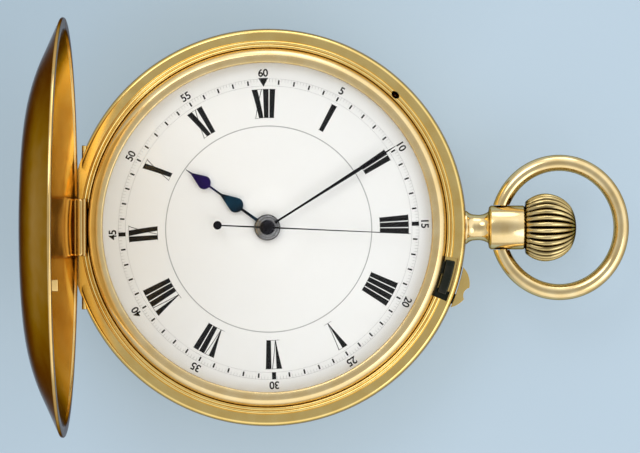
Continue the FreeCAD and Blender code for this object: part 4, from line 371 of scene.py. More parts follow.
def polishedWear():
    # slow waves of an old hand polish, fine hairline scratches and a tone that drifts
    w = wearGrain
    tree, given, out = group("polishedWear", {"Waves": 0.3, "Scratches": 0.3},
                             {"Tone": "NodeSocketFloat", "Rough": "NodeSocketFloat",
                              "Normal": "NodeSocketVector"})
    coords = objectCoords(tree)
    slow = noise(tree, coords, w["waveScale"], 2)
    mottled = noise(tree, coords, w["mottleScale"], 5)
    (turnX, turnZ), (startY, startZ) = w["turnStep"], w["turnStart"]
    scratchSum = None
    for index, stretch in enumerate(w["stretches"]):
        turned = node(tree, "ShaderNodeMapping", {
            "Vector": coords, "Scale": stretch,
            "Rotation": (turnX * index, startY, turnZ * index + startZ)})[0]
        hair = tree.nodes.new("ShaderNodeValToRGB")
        hair.color_ramp.elements[0].position = w["hairFrom"]
        hair.color_ramp.elements[1].position = w["hairTo"]
        tree.links.new(noise(tree, turned, 1, 1), hair.inputs["Fac"])
        value = hair.outputs["Color"]
        scratchSum = value if scratchSum is None else maths(tree, "ADD", scratchSum, value)
    scratched = maths(tree, "MULTIPLY", scratchSum, given["Scratches"])
    cloudy = maths(tree, "MULTIPLY", mottled, w["mottleShare"])
    height = maths(tree, "ADD", maths(tree, "MULTIPLY", slow, given["Waves"]),
                   maths(tree, "MULTIPLY", scratched, w["scratchDepth"]))
    bump = node(tree, "ShaderNodeBump",
                {"Height": height, "Strength": w["bump"], "Distance": w["bumpDepth"]})[0]
    fill(tree, out, {"Tone": mottled, "Rough": maths(tree, "ADD", cloudy, scratched),
                     "Normal": bump})
    return tree


def frostedGrain():
    # the fine even grain of frosted gilding or of an unpolished surface
    f = frostGrain
    tree, given, out = group("frostedGrain", {"Scale": 9000, "Depth": 0.5},
                             {"Tone": "NodeSocketFloat", "Normal": "NodeSocketVector"})
    coords = objectCoords(tree)
    fine = noise(tree, coords, given["Scale"], 3)
    cloud = noise(tree, coords, f["cloudScale"], 4)
    bump = node(tree, "ShaderNodeBump",
                {"Height": fine, "Strength": given["Depth"], "Distance": f["bumpDepth"]})[0]
    tone = maths(tree, "ADD", maths(tree, "MULTIPLY", fine, f["fineShare"]),
                 maths(tree, "MULTIPLY", cloud, f["cloudShare"]))
    fill(tree, out, {"Tone": tone, "Normal": bump})
    return tree


wearGroup = polishedWear()
frostGroup = frostedGrain()


# finishes

# a finish's edge is its tint at grazing angles; the gold ones, darker than the gold itself, are a
# painted shade along each silhouette
metals = {
    "gold": {"light": (0.95, 0.73, 0.29), "dark": (0.88, 0.62, 0.20), "edge": (0.45, 0.28, 0.10),
             "rough": (0.10, 0.22), "waves": 0.35, "scratches": 0.25},
    "paleGold": {"light": (0.94, 0.77, 0.44), "dark": (0.82, 0.61, 0.28),
                 "edge": (0.22, 0.13, 0.05), "rough": (0.08, 0.22), "waves": 0.3, "scratches": 0.2},
    "coverGold": {"light": (0.91, 0.66, 0.29), "dark": (0.86, 0.58, 0.21),
                  "edge": (0.12, 0.06, 0.02), "rough": (0.10, 0.24),
                  "waves": 0.3, "scratches": 0.3},
    "crownGold": {"light": (0.78, 0.64, 0.33), "dark": (0.56, 0.42, 0.17),
                  "edge": (0.10, 0.06, 0.03), "rough": (0.10, 0.24),
                  "waves": 0.2, "scratches": 0.2},
    # the bezel gold is paler than the rim gold: a painted reflection of the white dial
    "bezelGold": {"light": (0.95, 0.76, 0.42), "dark": (0.90, 0.67, 0.31),
                  "edge": (0.45, 0.28, 0.10), "rough": (0.20, 0.32),
                  "waves": 0.15, "scratches": 0.1},
    "steel": {"light": (0.62, 0.62, 0.62), "dark": (0.45, 0.45, 0.46), "edge": (0.6, 0.6, 0.6),
              "rough": (0.14, 0.32), "waves": 0.1, "scratches": 0.4},
    "darkSteel": {"light": (0.056, 0.056, 0.046), "dark": (0.010, 0.021, 0.014),
                  "edge": (0.3, 0.3, 0.3), "rough": (0.15, 0.36), "waves": 0.2, "scratches": 0.5},
    "bossSteel": {"light": (0.30, 0.30, 0.31), "dark": (0.18, 0.18, 0.19),
                  "edge": (0.25, 0.25, 0.25), "rough": (0.18, 0.32),
                  "waves": 0.1, "scratches": 0.3},
    "blackSteel": {"light": (0.018, 0.018, 0.024), "dark": (0.006, 0.006, 0.008),
                   "edge": (0.3, 0.3, 0.3), "rough": (0.15, 0.3), "waves": 0.1, "scratches": 0.2},
    "screwBlue": {"light": (0.030, 0.055, 0.290), "dark": (0.012, 0.020, 0.110),
                  "edge": (0.6, 0.6, 0.8), "rough": (0.12, 0.28), "waves": 0.1, "scratches": 0.2},
    "springSteel": {"light": (0.30, 0.31, 0.36), "dark": (0.14, 0.15, 0.20),
                    "edge": (0.6, 0.6, 0.7), "rough": (0.20, 0.40), "waves": 0.1, "scratches": 0.3},
}
tonePatches = (0.28, 0.72)   # where a metal's mottling turns from dark to light
# the seam colour is a painted shade, near-black low in the seam between the bead and the glass ring
seamShade = {"inner": 0.02400, "outer": 0.02440, "lower": 0.01130, "upper": 0.01160,
            "colour": (0.030, 0.013, 0.003)}
# the groove colour is a painted shade at the floor of the crown's grooves
crownRibs = {"count": 30, "crest": 0.85, "floor": 0.35, "groove": (0.060, 0.034, 0.008)}
blueing = {"near": (0.008, 0.062, 0.115), "far": (0.032, 0.008, 0.160),
           "black": (0.004, 0.005, 0.009), "turnAt": 0.0085, "turnWidth": 0.0008,
           "patches": (0.35, 0.65), "waves": 0.1, "scratches": 0.15, "rough": 0.18}
grainy = {
    "gilt": {"dark": (0.62, 0.42, 0.16), "light": (0.86, 0.65, 0.32), "metallic": 1,
             "rough": 0.38, "level": 0.5, "grain": 9000, "depth": 0.5},
    "enamel": {"dark": (0.91, 0.91, 0.905), "light": (0.95, 0.95, 0.945), "metallic": 0,
               "rough": 0.2, "level": 0.35, "grain": 2500, "depth": 0.03},
    "numeralInk": {"dark": (0.0042, 0.0042, 0.0049), "light": (0.0078, 0.0078, 0.0091),
                   "metallic": 0, "rough": 0.5, "level": 0.1, "grain": 9000, "depth": 0},
    "greyInk": {"dark": (0.294, 0.294, 0.294), "light": (0.546, 0.546, 0.546), "metallic": 0,
                "rough": 0.5, "level": 0.1, "grain": 9000, "depth": 0},
}
clearStone = {
    "crystalGlass": {"colour": (0.985, 0.99, 0.985), "rough": 0.0, "ior": 1.2},
    "ruby": {"colour": (0.62, 0.02, 0.07), "rough": 0.05, "ior": 1.76},
}
materials = {}


def shaderMaterial(name):
    material = bpy.data.materials.new(name)
    material.use_nodes = True
    materials[name] = material
    return material.node_tree, material.node_tree.nodes["Principled BSDF"]


def ribMask():
    # 1 at the floor of the crown's grooves, counted round its axis along X, where a painted shade
    # darkens the gold
    tree, _, out = group("ribMask", {}, {"Groove": "NodeSocketFloat"})
    split = node(tree, "ShaderNodeSeparateXYZ", {0: objectCoords(tree)})
    height = maths(tree, "SUBTRACT", split["Z"], stemHeight * mm)
    angle = maths(tree, "ARCTAN2", split["Y"], height)
    wave = maths(tree, "MULTIPLY", angle, crownRibs["count"] / 2)
    crest = maths(tree, "ABSOLUTE", maths(tree, "SINE", wave))
    fill(tree, out, {"Groove": ranged(tree, crest, crownRibs["crest"], crownRibs["floor"])})
    return tree


def seamMask():
    # 1 low in the narrow seam between the bead and the glass ring: a painted shade that darkens the
    # seam
    tree, _, out = group("seamMask", {}, {"Dirt": "NodeSocketFloat"})
    away = offAxis(tree)
    height = node(tree, "ShaderNodeSeparateXYZ", {0: objectCoords(tree)})["Z"]
    low = ranged(tree, height, seamShade["upper"], seamShade["lower"])
    within = maths(tree, "MULTIPLY", maths(tree, "GREATER_THAN", away, seamShade["inner"]),
                   maths(tree, "LESS_THAN", away, seamShade["outer"]))
    fill(tree, out, {"Dirt": maths(tree, "MULTIPLY", low, within)})
    return tree


def worn(tree, waves, scratches):
    return node(tree, "ShaderNodeGroup", {"Waves": waves, "Scratches": scratches},
                node_tree=wearGroup)


def metal(name, look, shadeMaskGroup=None, paintedShadeColour=None):
    tree, shader = shaderMaterial(name)
    wear = worn(tree, look["waves"], look["scratches"])
    tone = blend(tree, ranged(tree, wear["Tone"], *tonePatches), look["dark"], look["light"])
    # a mask group lays a painted shade colour over the tone where it is 1
    if shadeMaskGroup:
        shadeMask = node(tree, "ShaderNodeGroup", node_tree=shadeMaskGroup)[0]
        tone = blend(tree, shadeMask, tone, paintedShadeColour)
    rough = ranged(tree, wear["Rough"], 0, 1, *look["rough"])
    fill(tree, shader.inputs, {"Base Color": tone, "Roughness": rough, "Normal": wear["Normal"],
                               "Metallic": 1, "Specular Tint": look["edge"]})


def heatBlue():
    # blued steel: teal near the middle, violet further out, almost black in patches
    b = blueing
    tree, shader = shaderMaterial("bluedSteel")
    wear = worn(tree, b["waves"], b["scratches"])
    outward = ranged(tree, offAxis(tree), b["turnAt"] - b["turnWidth"],
                     b["turnAt"] + b["turnWidth"])
    hue = blend(tree, outward, b["near"], b["far"])
    tone = blend(tree, ranged(tree, wear["Tone"], *b["patches"]), b["black"], hue)
    fill(tree, shader.inputs, {"Base Color": tone, "Roughness": b["rough"],
                               "Normal": wear["Normal"], "Metallic": 1})


def grained(name, look):
    # gilding, enamel and print; a depth of 0 leaves the surface flat
    tree, shader = shaderMaterial(name)
    grain = node(tree, "ShaderNodeGroup", {"Scale": look["grain"], "Depth": look["depth"]},
                 node_tree=frostGroup)
    tone = blend(tree, grain["Tone"], look["dark"], look["light"])
    fill(tree, shader.inputs, {"Base Color": tone, "Roughness": look["rough"],
                               "Metallic": look["metallic"], "Specular IOR Level": look["level"]})
    if look["depth"]:
        tree.links.new(grain["Normal"], shader.inputs["Normal"])


def clear(name, look):
    # glass that lets lamps through to what it covers
    tree, shader = shaderMaterial(name)
    fill(tree, shader.inputs, {"Base Color": look["colour"], "Roughness": look["rough"],
                               "Transmission Weight": 1, "IOR": look["ior"]})
    through = node(tree, "ShaderNodeBsdfTransparent", {"Color": look["colour"]})[0]
    shadow = node(tree, "ShaderNodeLightPath")["Is Shadow Ray"]
    both = node(tree, "ShaderNodeMixShader", {0: shadow, 1: shader.outputs[0], 2: through})[0]
    tree.links.new(both, tree.nodes["Material Output"].inputs["Surface"])


seamShadeGroup = seamMask()
heatBlue()
# the rim and bezel golds carry the painted shade in the seam
metal("rimGold", metals["gold"], seamShadeGroup, seamShade["colour"])
metal("bezelGold", metals["bezelGold"], seamShadeGroup, seamShade["colour"])
# the crown's gold carries the painted shade in its grooves
metal("crownGold", metals["crownGold"], ribMask(), crownRibs["groove"])
for finishes, makeFinish in ((metals, metal), (grainy, grained), (clearStone, clear)):
    for finish, look in finishes.items():
        if finish not in materials:
            makeFinish(finish, look)

finishSlot = {
    "gold": "gold", "paleGold": "gold", "crownGold": "gold", "rimGold": "gold",
    "bezelGold": "gold", "coverGold": "gold_cover", "steel": "steel", "bossSteel": "steel",
    "darkSteel": "dark_steel", "bluedSteel": "blued_steel", "blackSteel": "blued_steel",
    "screwBlue": "screw_blue", "springSteel": "spring_steel", "gilt": "gilt",
    "enamel": "enamel", "numeralInk": "enamel", "greyInk": "enamel", "crystalGlass": "glass",
    "ruby": "ruby",
}
slotFinish = {slotName: finish for finish, slotName in reversed(finishSlot.items())}
for entry in frame["record"]["subparts"]:
    carried = nodes[entry["node"]]
    carried.data.materials.clear()
    carried.data.materials.append(materials[slotFinish[entry["material_slot"]]])
print("finishes ready")


# case band

caseBand = {
    "rimDrop": 0.3, "edgeInset": 0.3, "shoulder": 0.5, "bulge": 17.5, "bore": 22.6,
    "hollow": 24.3, "hollowLow": 7.0, "hollowHigh": 10.0, "seatDepth": 0.9, "backGap": 0.03,
    "backEase": 0.1, "segments": 360,
}
bead = {"outer": 25.15, "inner": 24.25, "lift": 0.02, "round": 0.24, "outerEnd": 0.44,
        "innerStart": 0.46, "footOut": 0.08, "footDown": 0.05, "taper": 0.03}   # two half-rounds
hinge = {"x": 24.8, "height": 10.8, "radius": 0.6, "half": 11.0, "coverHalf": 3.85, "gap": 0.05,
         "chordX": 25.0, "chordLow": 8.3, "slotDepth": 0.85, "pin": 0.25, "pinIn": 0.02,
         "pinOut": 0.06, "pinSoft": 0.03, "pinBore": 0.29, "boreReach": 20,
         "backReach": 3}
catchWindow = {"inner": 24.2, "outer": 26.1, "start": -22.4, "end": -9.2, "floor": 9.3}
slideSlot = {"inner": 21.6, "outer": 28.0, "start": -25.9, "end": -16.1, "low": 9.32,
             "high": 9.98}
stemBore = {"start": 20, "end": 28, "radius": 0.7}
springNotch = {"radius": 24.85, "angle": 46.0, "length": 1.15, "width": 0.42, "depth": 2.2,
               "mouth": 1.15, "tip": 0.02, "above": 0.3}
rimHeight = top("case_middle") - caseBand["rimDrop"]
backEdge = top("back_cover") + caseBand["backGap"]


def notchCutter():
    # a pointed pocket, so that its walls shade each other
    n = springNotch
    notch = bmesh.new()
    bmesh.ops.create_cone(notch, cap_ends=True, segments=32, radius1=n["tip"],
                          radius2=n["width"] * n["mouth"], depth=n["depth"])
    bmesh.ops.scale(notch, verts=notch.verts, vec=(1, n["length"] / n["width"] / 2, 1))
    turnedBy(notch, n["angle"])
    along = Vector((-math.sin(math.radians(n["angle"])), math.cos(math.radians(n["angle"])), 0))
    outward = Vector((along.y, -along.x, 0))
    height = rimHeight + n["above"] - n["depth"] / 2
    return movedBy(notch, outward * n["radius"] + Vector((0, 0, height)))


def makeCaseBand():
    b, e = caseBand, bead
    wide = reach("case_middle")
    edge = wide - b["edgeInset"]
    crest, seat = rimHeight + e["lift"], rimHeight - b["seatDepth"]
    bm = spun([
        (b["bore"], backEdge),
        (edge - b["backEase"], backEdge),
        (edge, backEdge + b["backEase"], b["bulge"]),
        (edge, rimHeight - b["shoulder"], b["shoulder"]),
        (edge - b["shoulder"], rimHeight),
        (e["outer"] + e["footOut"], rimHeight),
        (e["outer"], rimHeight - e["footDown"]),
        (e["outer"], crest, e["round"]),
        (e["outer"] - e["outerEnd"], crest),
        (e["outer"] - e["innerStart"], crest, e["round"]),
        (e["inner"], crest),
        (e["inner"], rimHeight - e["lift"]),
        (e["inner"] - e["taper"], seat),
        (b["bore"], seat),
        (b["bore"], b["hollowHigh"]),
        (b["hollow"], b["hollowHigh"]),
        (b["hollow"], b["hollowLow"]),
        (b["bore"], b["hollowLow"]),
    ], segments=b["segments"])
    h, w, s = hinge, catchWindow, slideSlot
    slotHalf, over = h["coverHalf"] + h["gap"], rimHeight + spare
    cutters = [
        box((-wide - spare, -wide, h["chordLow"]), (-h["chordX"], wide, over)),
        box((-wide - spare, -slotHalf, h["height"] - h["slotDepth"]),
            (-h["x"] + h["radius"] + h["gap"], slotHalf, over)),
        slab(sectorPlan(w["inner"], w["outer"], w["start"], w["end"]), w["floor"], over),
        slab(sectorPlan(s["inner"], s["outer"], s["start"], s["end"]), s["low"], s["high"]),
        rod((stemBore["start"], 0, stemHeight), (stemBore["end"], 0, stemHeight),
            stemBore["radius"]),
        notchCutter(),
    ]
    barrels = [rodAcross(-h["x"], h["height"], side * slotHalf, side * h["half"], h["radius"])
               for side in (1, -1)]
    piece("caseBand", bm, "case", "rimGold", ["case_middle"], cutters=cutters, added=barrels)


def makeHingePinEnds():
    h = hinge
    bm = joined([rodAcross(-h["x"], h["height"], side * (h["half"] - h["pinIn"]),
                           side * (h["half"] + h["pinOut"]), h["pin"], 24) for side in (1, -1)])
    soften(bm, h["pinSoft"])
    piece("hingePinEnds", bm, "case", "darkSteel")


makeCaseBand()
makeHingePinEnds()
print("case band and hinge ready")


# bezel and glass

bezel = {"lip": 22.2, "lipLow": 11.1, "lipEase": 0.1, "seat": 11.7, "crest": 23.25,
         "innerLip": 22.32, "innerSteps": (0.97, 0.90, 0.84), "glassGap": 0.02, "outer": 24.14,
         "outerEase": 0.05, "outerRise": 0.12, "rounds": (1.5, 2.6), "low": 10.73,
         "rabbet": 22.8, "soft": 0.02, "segments": 360}
glass = {"radius": 22.6, "wall": 0.26, "shoulder": 12.42, "dome": 2.06, "segments": 240}


def makeBezel():
    z = bezel
    high, middle, low = [rimHeight + step for step in z["innerSteps"]]
    bm = spun([
        (z["lip"], z["lipLow"]),
        (z["rabbet"], z["lipLow"]),
        (z["rabbet"], z["low"]),
        (z["outer"] - z["outerEase"], z["low"]),
        (z["outer"], z["low"] + z["outerEase"]),
        (z["outer"], rimHeight + z["outerRise"], z["rounds"][0]),
        (z["crest"], top("bezel"), z["rounds"][1]),
        (z["innerLip"], high),
        (z["innerLip"], middle),
        (glass["radius"] + z["glassGap"], low),
        (glass["radius"] + z["glassGap"], z["seat"]),
        (z["lip"] + z["lipEase"], z["seat"]),
        (z["lip"], z["seat"] - z["lipEase"]),
    ], segments=z["segments"], steps=14, soft=z["soft"])
    piece("bezelRing", bm, "case", "bezelGold", ["bezel"])


def makeGlass():
    g = glass
    arc = arcThrough(g["radius"], g["dome"])
    crown = g["shoulder"] + g["dome"]
    inside = g["radius"] - g["wall"]
    bm = spun([
        (0, crown - g["wall"], -(arc - g["wall"])),
        (inside, g["shoulder"] - g["wall"]),
        (inside, bezel["seat"]),
        (g["radius"], bezel["seat"]),
        (g["radius"], g["shoulder"], arc),
        (0, crown),
    ], segments=g["segments"], steps=24, closed=False)
    piece("watchGlass", bm, "case", "crystalGlass", ["crystal"], smooth=20)


makeBezel()
makeGlass()
print("bezel and glass ready")


# dial and its print

dial = {"radius": 22.5, "hole": 1.3, "low": 10.3, "edge": 0.16, "holeEdge": 0.1, "turn": 2.1,
        "printX": 0.18, "printY": -0.22, "print": 0.012, "sunk": 0.9, "lineLow": 0.001}
hourRing = {"inner": 15.02, "outer": 18.88, "reference": 17.4, "bar": 0.70, "barPitch": 0.83,
            "side": 0.085, "hair": 0.085, "vWidth": 1.25, "vFoot": 0.50, "xWidth": 1.32,
            "slack": 0.05, "serif": 0.006, "serifOut": 0.02, "steps": 4, "innerCircle": 13.9,
            "circleLine": 0.13}
secondsRing = {"inner": 19.32, "outer": 20.28, "line": 0.03, "tick": 0.21, "fifth": 0.035,
               "tickLow": 19.5, "tickHigh": 20.12, "quarterWide": 2.6, "quarterOver": 0.02,
               "pointHalf": 0.62, "pointOver": 0.12, "fifthLength": 0.42, "digitsAt": 21.02,
               "digitSize": 1.42, "digitWeight": 0.03, "digitSpace": 0.94}
hours = ["XII", "I", "II", "III", "IIII", "V", "VI", "VII", "VIII", "IX", "X", "XI"]
dialTop = top("dial")


def onDial(angle, radius):
    turned = math.radians(angle + dial["turn"])
    return (dial["printX"] + radius * math.cos(turned), dial["printY"] + radius * math.sin(turned))


def printed(shapes):
    # shapes are lists of plan points; each becomes a thin raised patch of print
    bm = bmesh.new()
    for shape in shapes:
        bm.faces.new([bm.verts.new((x, y, dialTop + dial["print"])) for x, y in shape])
    bmesh.ops.recalc_face_normals(bm, faces=bm.faces)
    for face in bm.faces:
        if face.normal.z < 0:
            face.normal_flip()
    return pushed(bm, list(bm.faces), -dial["print"] * dial["sunk"])


def makeDial():
    d = dial
    bm = spun([
        (d["hole"], d["low"]),
        (d["radius"], d["low"]),
        (d["radius"], dialTop - d["edge"], d["edge"]),
        (d["radius"] - d["edge"], dialTop),
        (d["hole"] + d["holeEdge"], dialTop),
        (d["hole"], dialTop - d["holeEdge"]),
    ], segments=240)
    piece("dialPlate", bm, "case", "enamel", ["dial"])


def letterStrokes(letter):
    # strokes as corner points: across in millimetres, along from 0 (inner) to 1 (outer)
    r = hourRing
    bar, hair, slack, side = r["bar"], r["hair"], r["slack"], r["side"]
    if letter == "I":
        return r["barPitch"], [[(side, 0), (side + bar, 0), (side + bar, 1), (side, 1)]]
    if letter == "V":
        wide = r["vWidth"]
        foot = wide * r["vFoot"]
        return wide, [
            [(foot - slack, 0), (foot + slack, 0), (bar, 1), (0, 1)],
            [(foot, 0), (foot + hair, 0), (wide, 1), (wide - hair, 1)],
        ]
    wide = r["xWidth"]
    return wide, [
        [(wide - bar, 0), (wide, 0), (bar, 1), (0, 1)],
        [(slack, 0), (slack + hair, 0), (wide - slack, 1), (wide - slack - hair, 1)],
    ]


def makeHours():
    r = hourRing
    shapes = []

    def place(middle, across, along):
        radius = r["inner"] + along * (r["outer"] - r["inner"])
        return onDial(middle - math.degrees(across / r["reference"]), radius)

    for hour, name in enumerate(hours):
        letters = [letterStrokes(letter) for letter in name]
        middle = 90 - 30 * hour
        start = -sum(width for width, strokes in letters) / 2
        for width, strokes in letters:
            for (a, _), (b, _), (c, _), (d, _) in strokes:
                inner, outer = [], []
                for step in range(r["steps"] + 1):
                    share = step / r["steps"]
                    inner.append(place(middle, start + a + (d - a) * share, share))
                    outer.append(place(middle, start + b + (c - b) * share, share))
                shapes.append(inner + outer[::-1])
            left, right = start - r["serifOut"], start + width + r["serifOut"]
            for along in (0.0, 1.0):
                low, high = along - r["serif"], along + r["serif"]
                shapes.append([place(middle, left, low), place(middle, right, low),
                               place(middle, right, high), place(middle, left, high)])
            start += width
    piece("hourNumerals", printed(shapes), "case", "numeralInk")


def arcPatch(inner, outer, middle, halfAngle, steps=2):
    turns = [2 * halfAngle * i / steps for i in range(steps + 1)]
    return ([onDial(middle - halfAngle + turn, outer) for turn in turns]
            + [onDial(middle + halfAngle - turn, inner) for turn in turns])


def circleLine(radius, width):
    low, high = dialTop + dial["lineLow"], dialTop + dial["print"]
    bm = spun([(radius - width / 2, low), (radius + width / 2, low),
               (radius + width / 2, high), (radius - width / 2, high)], segments=240)
    return movedBy(bm, (dial["printX"], dial["printY"], 0))


def makeSecondsTrack():
    s = secondsRing
    shapes = []
    for second in range(60):
        angle = 90 - 6 * second
        half = math.degrees(s["tick"] / 2 / s["inner"])
        if second % 15:
            shapes.append(arcPatch(s["tickLow"], s["tickHigh"], angle, half))
        elif second:
            shapes.append(arcPatch(s["inner"] - s["quarterOver"], s["outer"], angle,
                                   half * s["quarterWide"]))
    tip = math.degrees(s["pointHalf"] / s["inner"])
    shapes.append([onDial(90 + tip, s["outer"] + s["pointOver"]),
                   onDial(90, s["inner"] - s["pointOver"]),
                   onDial(90 - tip, s["outer"] + s["pointOver"])])
    piece("secondsTicks", printed(shapes), "case", "numeralInk")
    half = math.degrees(s["fifth"] / 2 / s["inner"])
    fine = [arcPatch(s["outer"] - s["fifthLength"], s["outer"], 90 - 1.2 * fifth, half, 1)
            for fifth in range(300) if fifth % 5]
    lines = joined([circleLine(s["inner"], s["line"]), circleLine(s["outer"], s["line"]),
                    circleLine(hourRing["innerCircle"], hourRing["circleLine"]), printed(fine)])
    piece("trackLines", lines, "case", "greyInk")


def makeSecondsNumbers():
    s = secondsRing
    bm = bmesh.new()
    for number in range(5, 65, 5):
        text = bpy.data.curves.new("number", "FONT")
        text.body = str(number)
        text.size = s["digitSize"]
        text.align_x = text.align_y = "CENTER"
        text.extrude = dial["print"] / 2
        text.offset = s["digitWeight"]
        text.space_character = s["digitSpace"]
        item = linked("number", text)
        view = bpy.context.evaluated_depsgraph_get()
        mesh = bpy.data.meshes.new_from_object(item.evaluated_get(view))
        x, y = onDial(90 - 6 * number, s["digitsAt"])
        turn = Matrix.Rotation(math.radians(90 - 6 * number + dial["turn"] - 90), 4, "Z")
        mesh.transform(Matrix.Translation((x, y, dialTop + dial["print"] / 2)) @ turn)
        bm.from_mesh(mesh)
        bpy.data.meshes.remove(mesh)
        bpy.data.objects.remove(item)
        bpy.data.curves.remove(text)
    bmesh.ops.remove_doubles(bm, verts=bm.verts, dist=1e-5)
    piece("secondsNumbers", bm, "case", "numeralInk")


makeDial()
makeHours()
makeSecondsTrack()
makeSecondsNumbers()
print("dial ready")


# hands, each drawn along +X and turned to its place

# a hand's side is its outline on one side: distance from the axis, half width
hourHand = {"angle": 144.6, "boss": 1.66, "pipe": 1.06, "reach": 13.47, "soft": 0.05,
            "bossHigh": 0.33, "root": [(1.0, 0.26), (2.2, 0.20)],
            "lobes": ((5.22, 1.02, 7.6, 0.15, 3.6, 0.18), (10.45, 0.90, 12.5, 0.12, 8.6, 0.14)),
            "rimGap": 0.01, "rimWidth": 0.1, "rimHigh": (0.14, 0.18)}
minuteHand = {"angle": 32.4, "boss": 1.30, "pipe": 0.69, "soft": 0.04, "bossHigh": 0.28,
              "side": [(0.9, 0.24), (2.0, 0.14), (6.0, 0.15), (10.0, 0.19), (14.2, 0.25),
                       (17.5, 0.17), (19.4, 0.09), (20.5, 0.04)]}
secondsHand = {"angle": 357.5, "boss": 0.98, "tail": 6.7, "weight": 0.58, "thick": 0.12,
               "side": [(-7.0, 0.06), (-5.9, 0.09), (-2.0, 0.10), (0, 0.14), (3.0, 0.09),
                        (10.0, 0.07), (18.7, 0.05), (19.3, 0.03)],
               "weightEase": 0.08, "weightHigh": (0.1, 0.16), "bossSoft": 0.03,
               "bossEase": 0.35, "bossHigh": (0.25, 0.5, 0.54, 0.44), "dimple": (0.42, 0.36)}
handFit = {"lift": 0.1, "thick": 0.15, "bossLow": 0.05, "tip": 0.04, "tipSteps": 3,
           "tipAngle": 50, "taper": 0.6, "waistAt": 0.35, "waist": 0.22,
           "bossRound": (0.2, 0.3, 0.25), "bossEdge": 0.05}


def mirrored(side):
    return [(x, -y) for x, y in side] + [(x, y) for x, y in reversed(side)]


def lobe(centre, radius, end, endHalf, before, beforeHalf, steps=14):
    # a drop: round towards the boss, then straight sides that narrow to the end
    start = math.asin(min(beforeHalf / radius, 1))
    points = [(before, beforeHalf)]
    taper = math.asin((radius - endHalf) / math.hypot(end - centre, radius))
    last = math.pi / 2 + taper * handFit["taper"]
    for step in range(steps + 1):
        angle = start + (last - start) * step / steps
        points.append((centre - radius * math.cos(angle), radius * math.sin(angle)))
    points.append((end - handFit["waistAt"] * (end - centre - radius),
                   endHalf + handFit["waist"] * (radius - endHalf)))
    return points + [(end, endHalf)]


def handPiece(name, side, low, hand, body, finish):
    bm = slab(mirrored(side), low, low + handFit["thick"])
    soften(bm, hand["soft"], handFit["tipSteps"], handFit["tipAngle"])
    piece(name, turnedBy(bm, hand["angle"]), body, finish, [body])


def bossPiece(name, body, low, hand):
    drop, arc, ease = handFit["bossRound"]
    edge, radius, hole = handFit["bossEdge"], hand["boss"], hand["pipe"]
    high = low + hand["bossHigh"]
    low = low - handFit["bossLow"]
    bm = spun([(hole, low), (radius, low), (radius, high - drop, arc), (radius - ease, high),
               (hole + edge, high), (hole, high - edge)], segments=96)
    piece(name, bm, body, "bossSteel")


def makeHourHand():
    h = hourHand
    low = bottom("hour_hand") + handFit["lift"]
    side = h["root"] + lobe(*h["lobes"][0]) + lobe(*h["lobes"][1])
    side.append((h["reach"], handFit["tip"]))
    handPiece("hourHand", side, low, h, "hour_hand", "bluedSteel")
    bossPiece("hourBoss", "hour_hand", low, h)
    inner, outer = h["boss"] + h["rimGap"], h["boss"] + h["rimWidth"]
    foot = low - handFit["bossLow"]
    rim = spun([(inner, foot), (outer, foot), (outer, low + h["rimHigh"][0]),
                (inner, low + h["rimHigh"][1])], segments=96)
    piece("hourBossRim", rim, "hour_hand", "blackSteel")


def makeMinuteHand():
    low = bottom("minute_hand") + handFit["lift"]
    handPiece("minuteHand", minuteHand["side"], low, minuteHand, "minute_hand", "blackSteel")
    bossPiece("minuteBoss", "minute_hand", low, minuteHand)


def makeSecondsHand():
    s = secondsHand
    low = bottom("seconds_hand") + handFit["lift"]
    foot, (wall, brim, lip, dip) = low - handFit["bossLow"], [low + z for z in s["bossHigh"]]
    boss = spun([(0, foot), (s["boss"], foot), (s["boss"], wall), (s["boss"] - s["bossEase"], brim),
                 (s["dimple"][0], lip), (s["dimple"][1], dip), (0, dip)],
                segments=96, soft=s["bossSoft"])
    flank, crest = [low + z for z in s["weightHigh"]]
    weight = spun([(0, low), (s["weight"], low), (s["weight"], flank),
                   (s["weight"] - s["weightEase"], crest), (0, crest)], segments=48)
    bm = joined([slab(mirrored(s["side"]), low, low + s["thick"]),
                 movedBy(weight, (-s["tail"], 0, 0)), boss])
    piece("secondsHand", turnedBy(bm, s["angle"]), "fourth_wheel", "blackSteel", ["seconds_hand"])


makeHourHand()
makeMinuteHand()
makeSecondsHand()
print("hands ready")


# covers: the front one is drawn shut over the dial and then stood open

frontCover = {"base": 11.65, "depth": 5.6, "crownRadius": 12.5, "crownDepth": 0.6,
              "coneRadius": 22.7, "coneDepth": 2.35, "bend": 26.0, "rim": 26.99, "wall": 0.5,
              "lip": 0.34, "lipLow": 0.02, "rimRound": 0.14, "rimWall": 0.16, "rimTop": (0.08, 0.1),
              "rimArc": 0.2, "insideRing": 25.4, "ringSteps": ((0.12, 0.12), (0.25, 0.02)),
              "soft": 0.03, "segments": 360}
coverArm = {"above": 0.35, "soft": 0.3}
coverLatch = {"start": -17.4, "end": -14.2, "outer": 26.05, "lugInner": 25.84, "hookInner": 25.66,
              "low": 0.7, "hookHigh": 0.5, "lugAbove": 0.45, "lugSoft": 0.08, "hookSoft": 0.06}


def openUp(bm):
    turned = Matrix.Rotation(math.radians(-90), 4, "Y")
    x, height = hinge["x"], hinge["height"]
    turned = Matrix.Translation((height - x, 0, height + x)) @ turned
    bmesh.ops.transform(bm, verts=bm.verts, matrix=turned)
    return bm


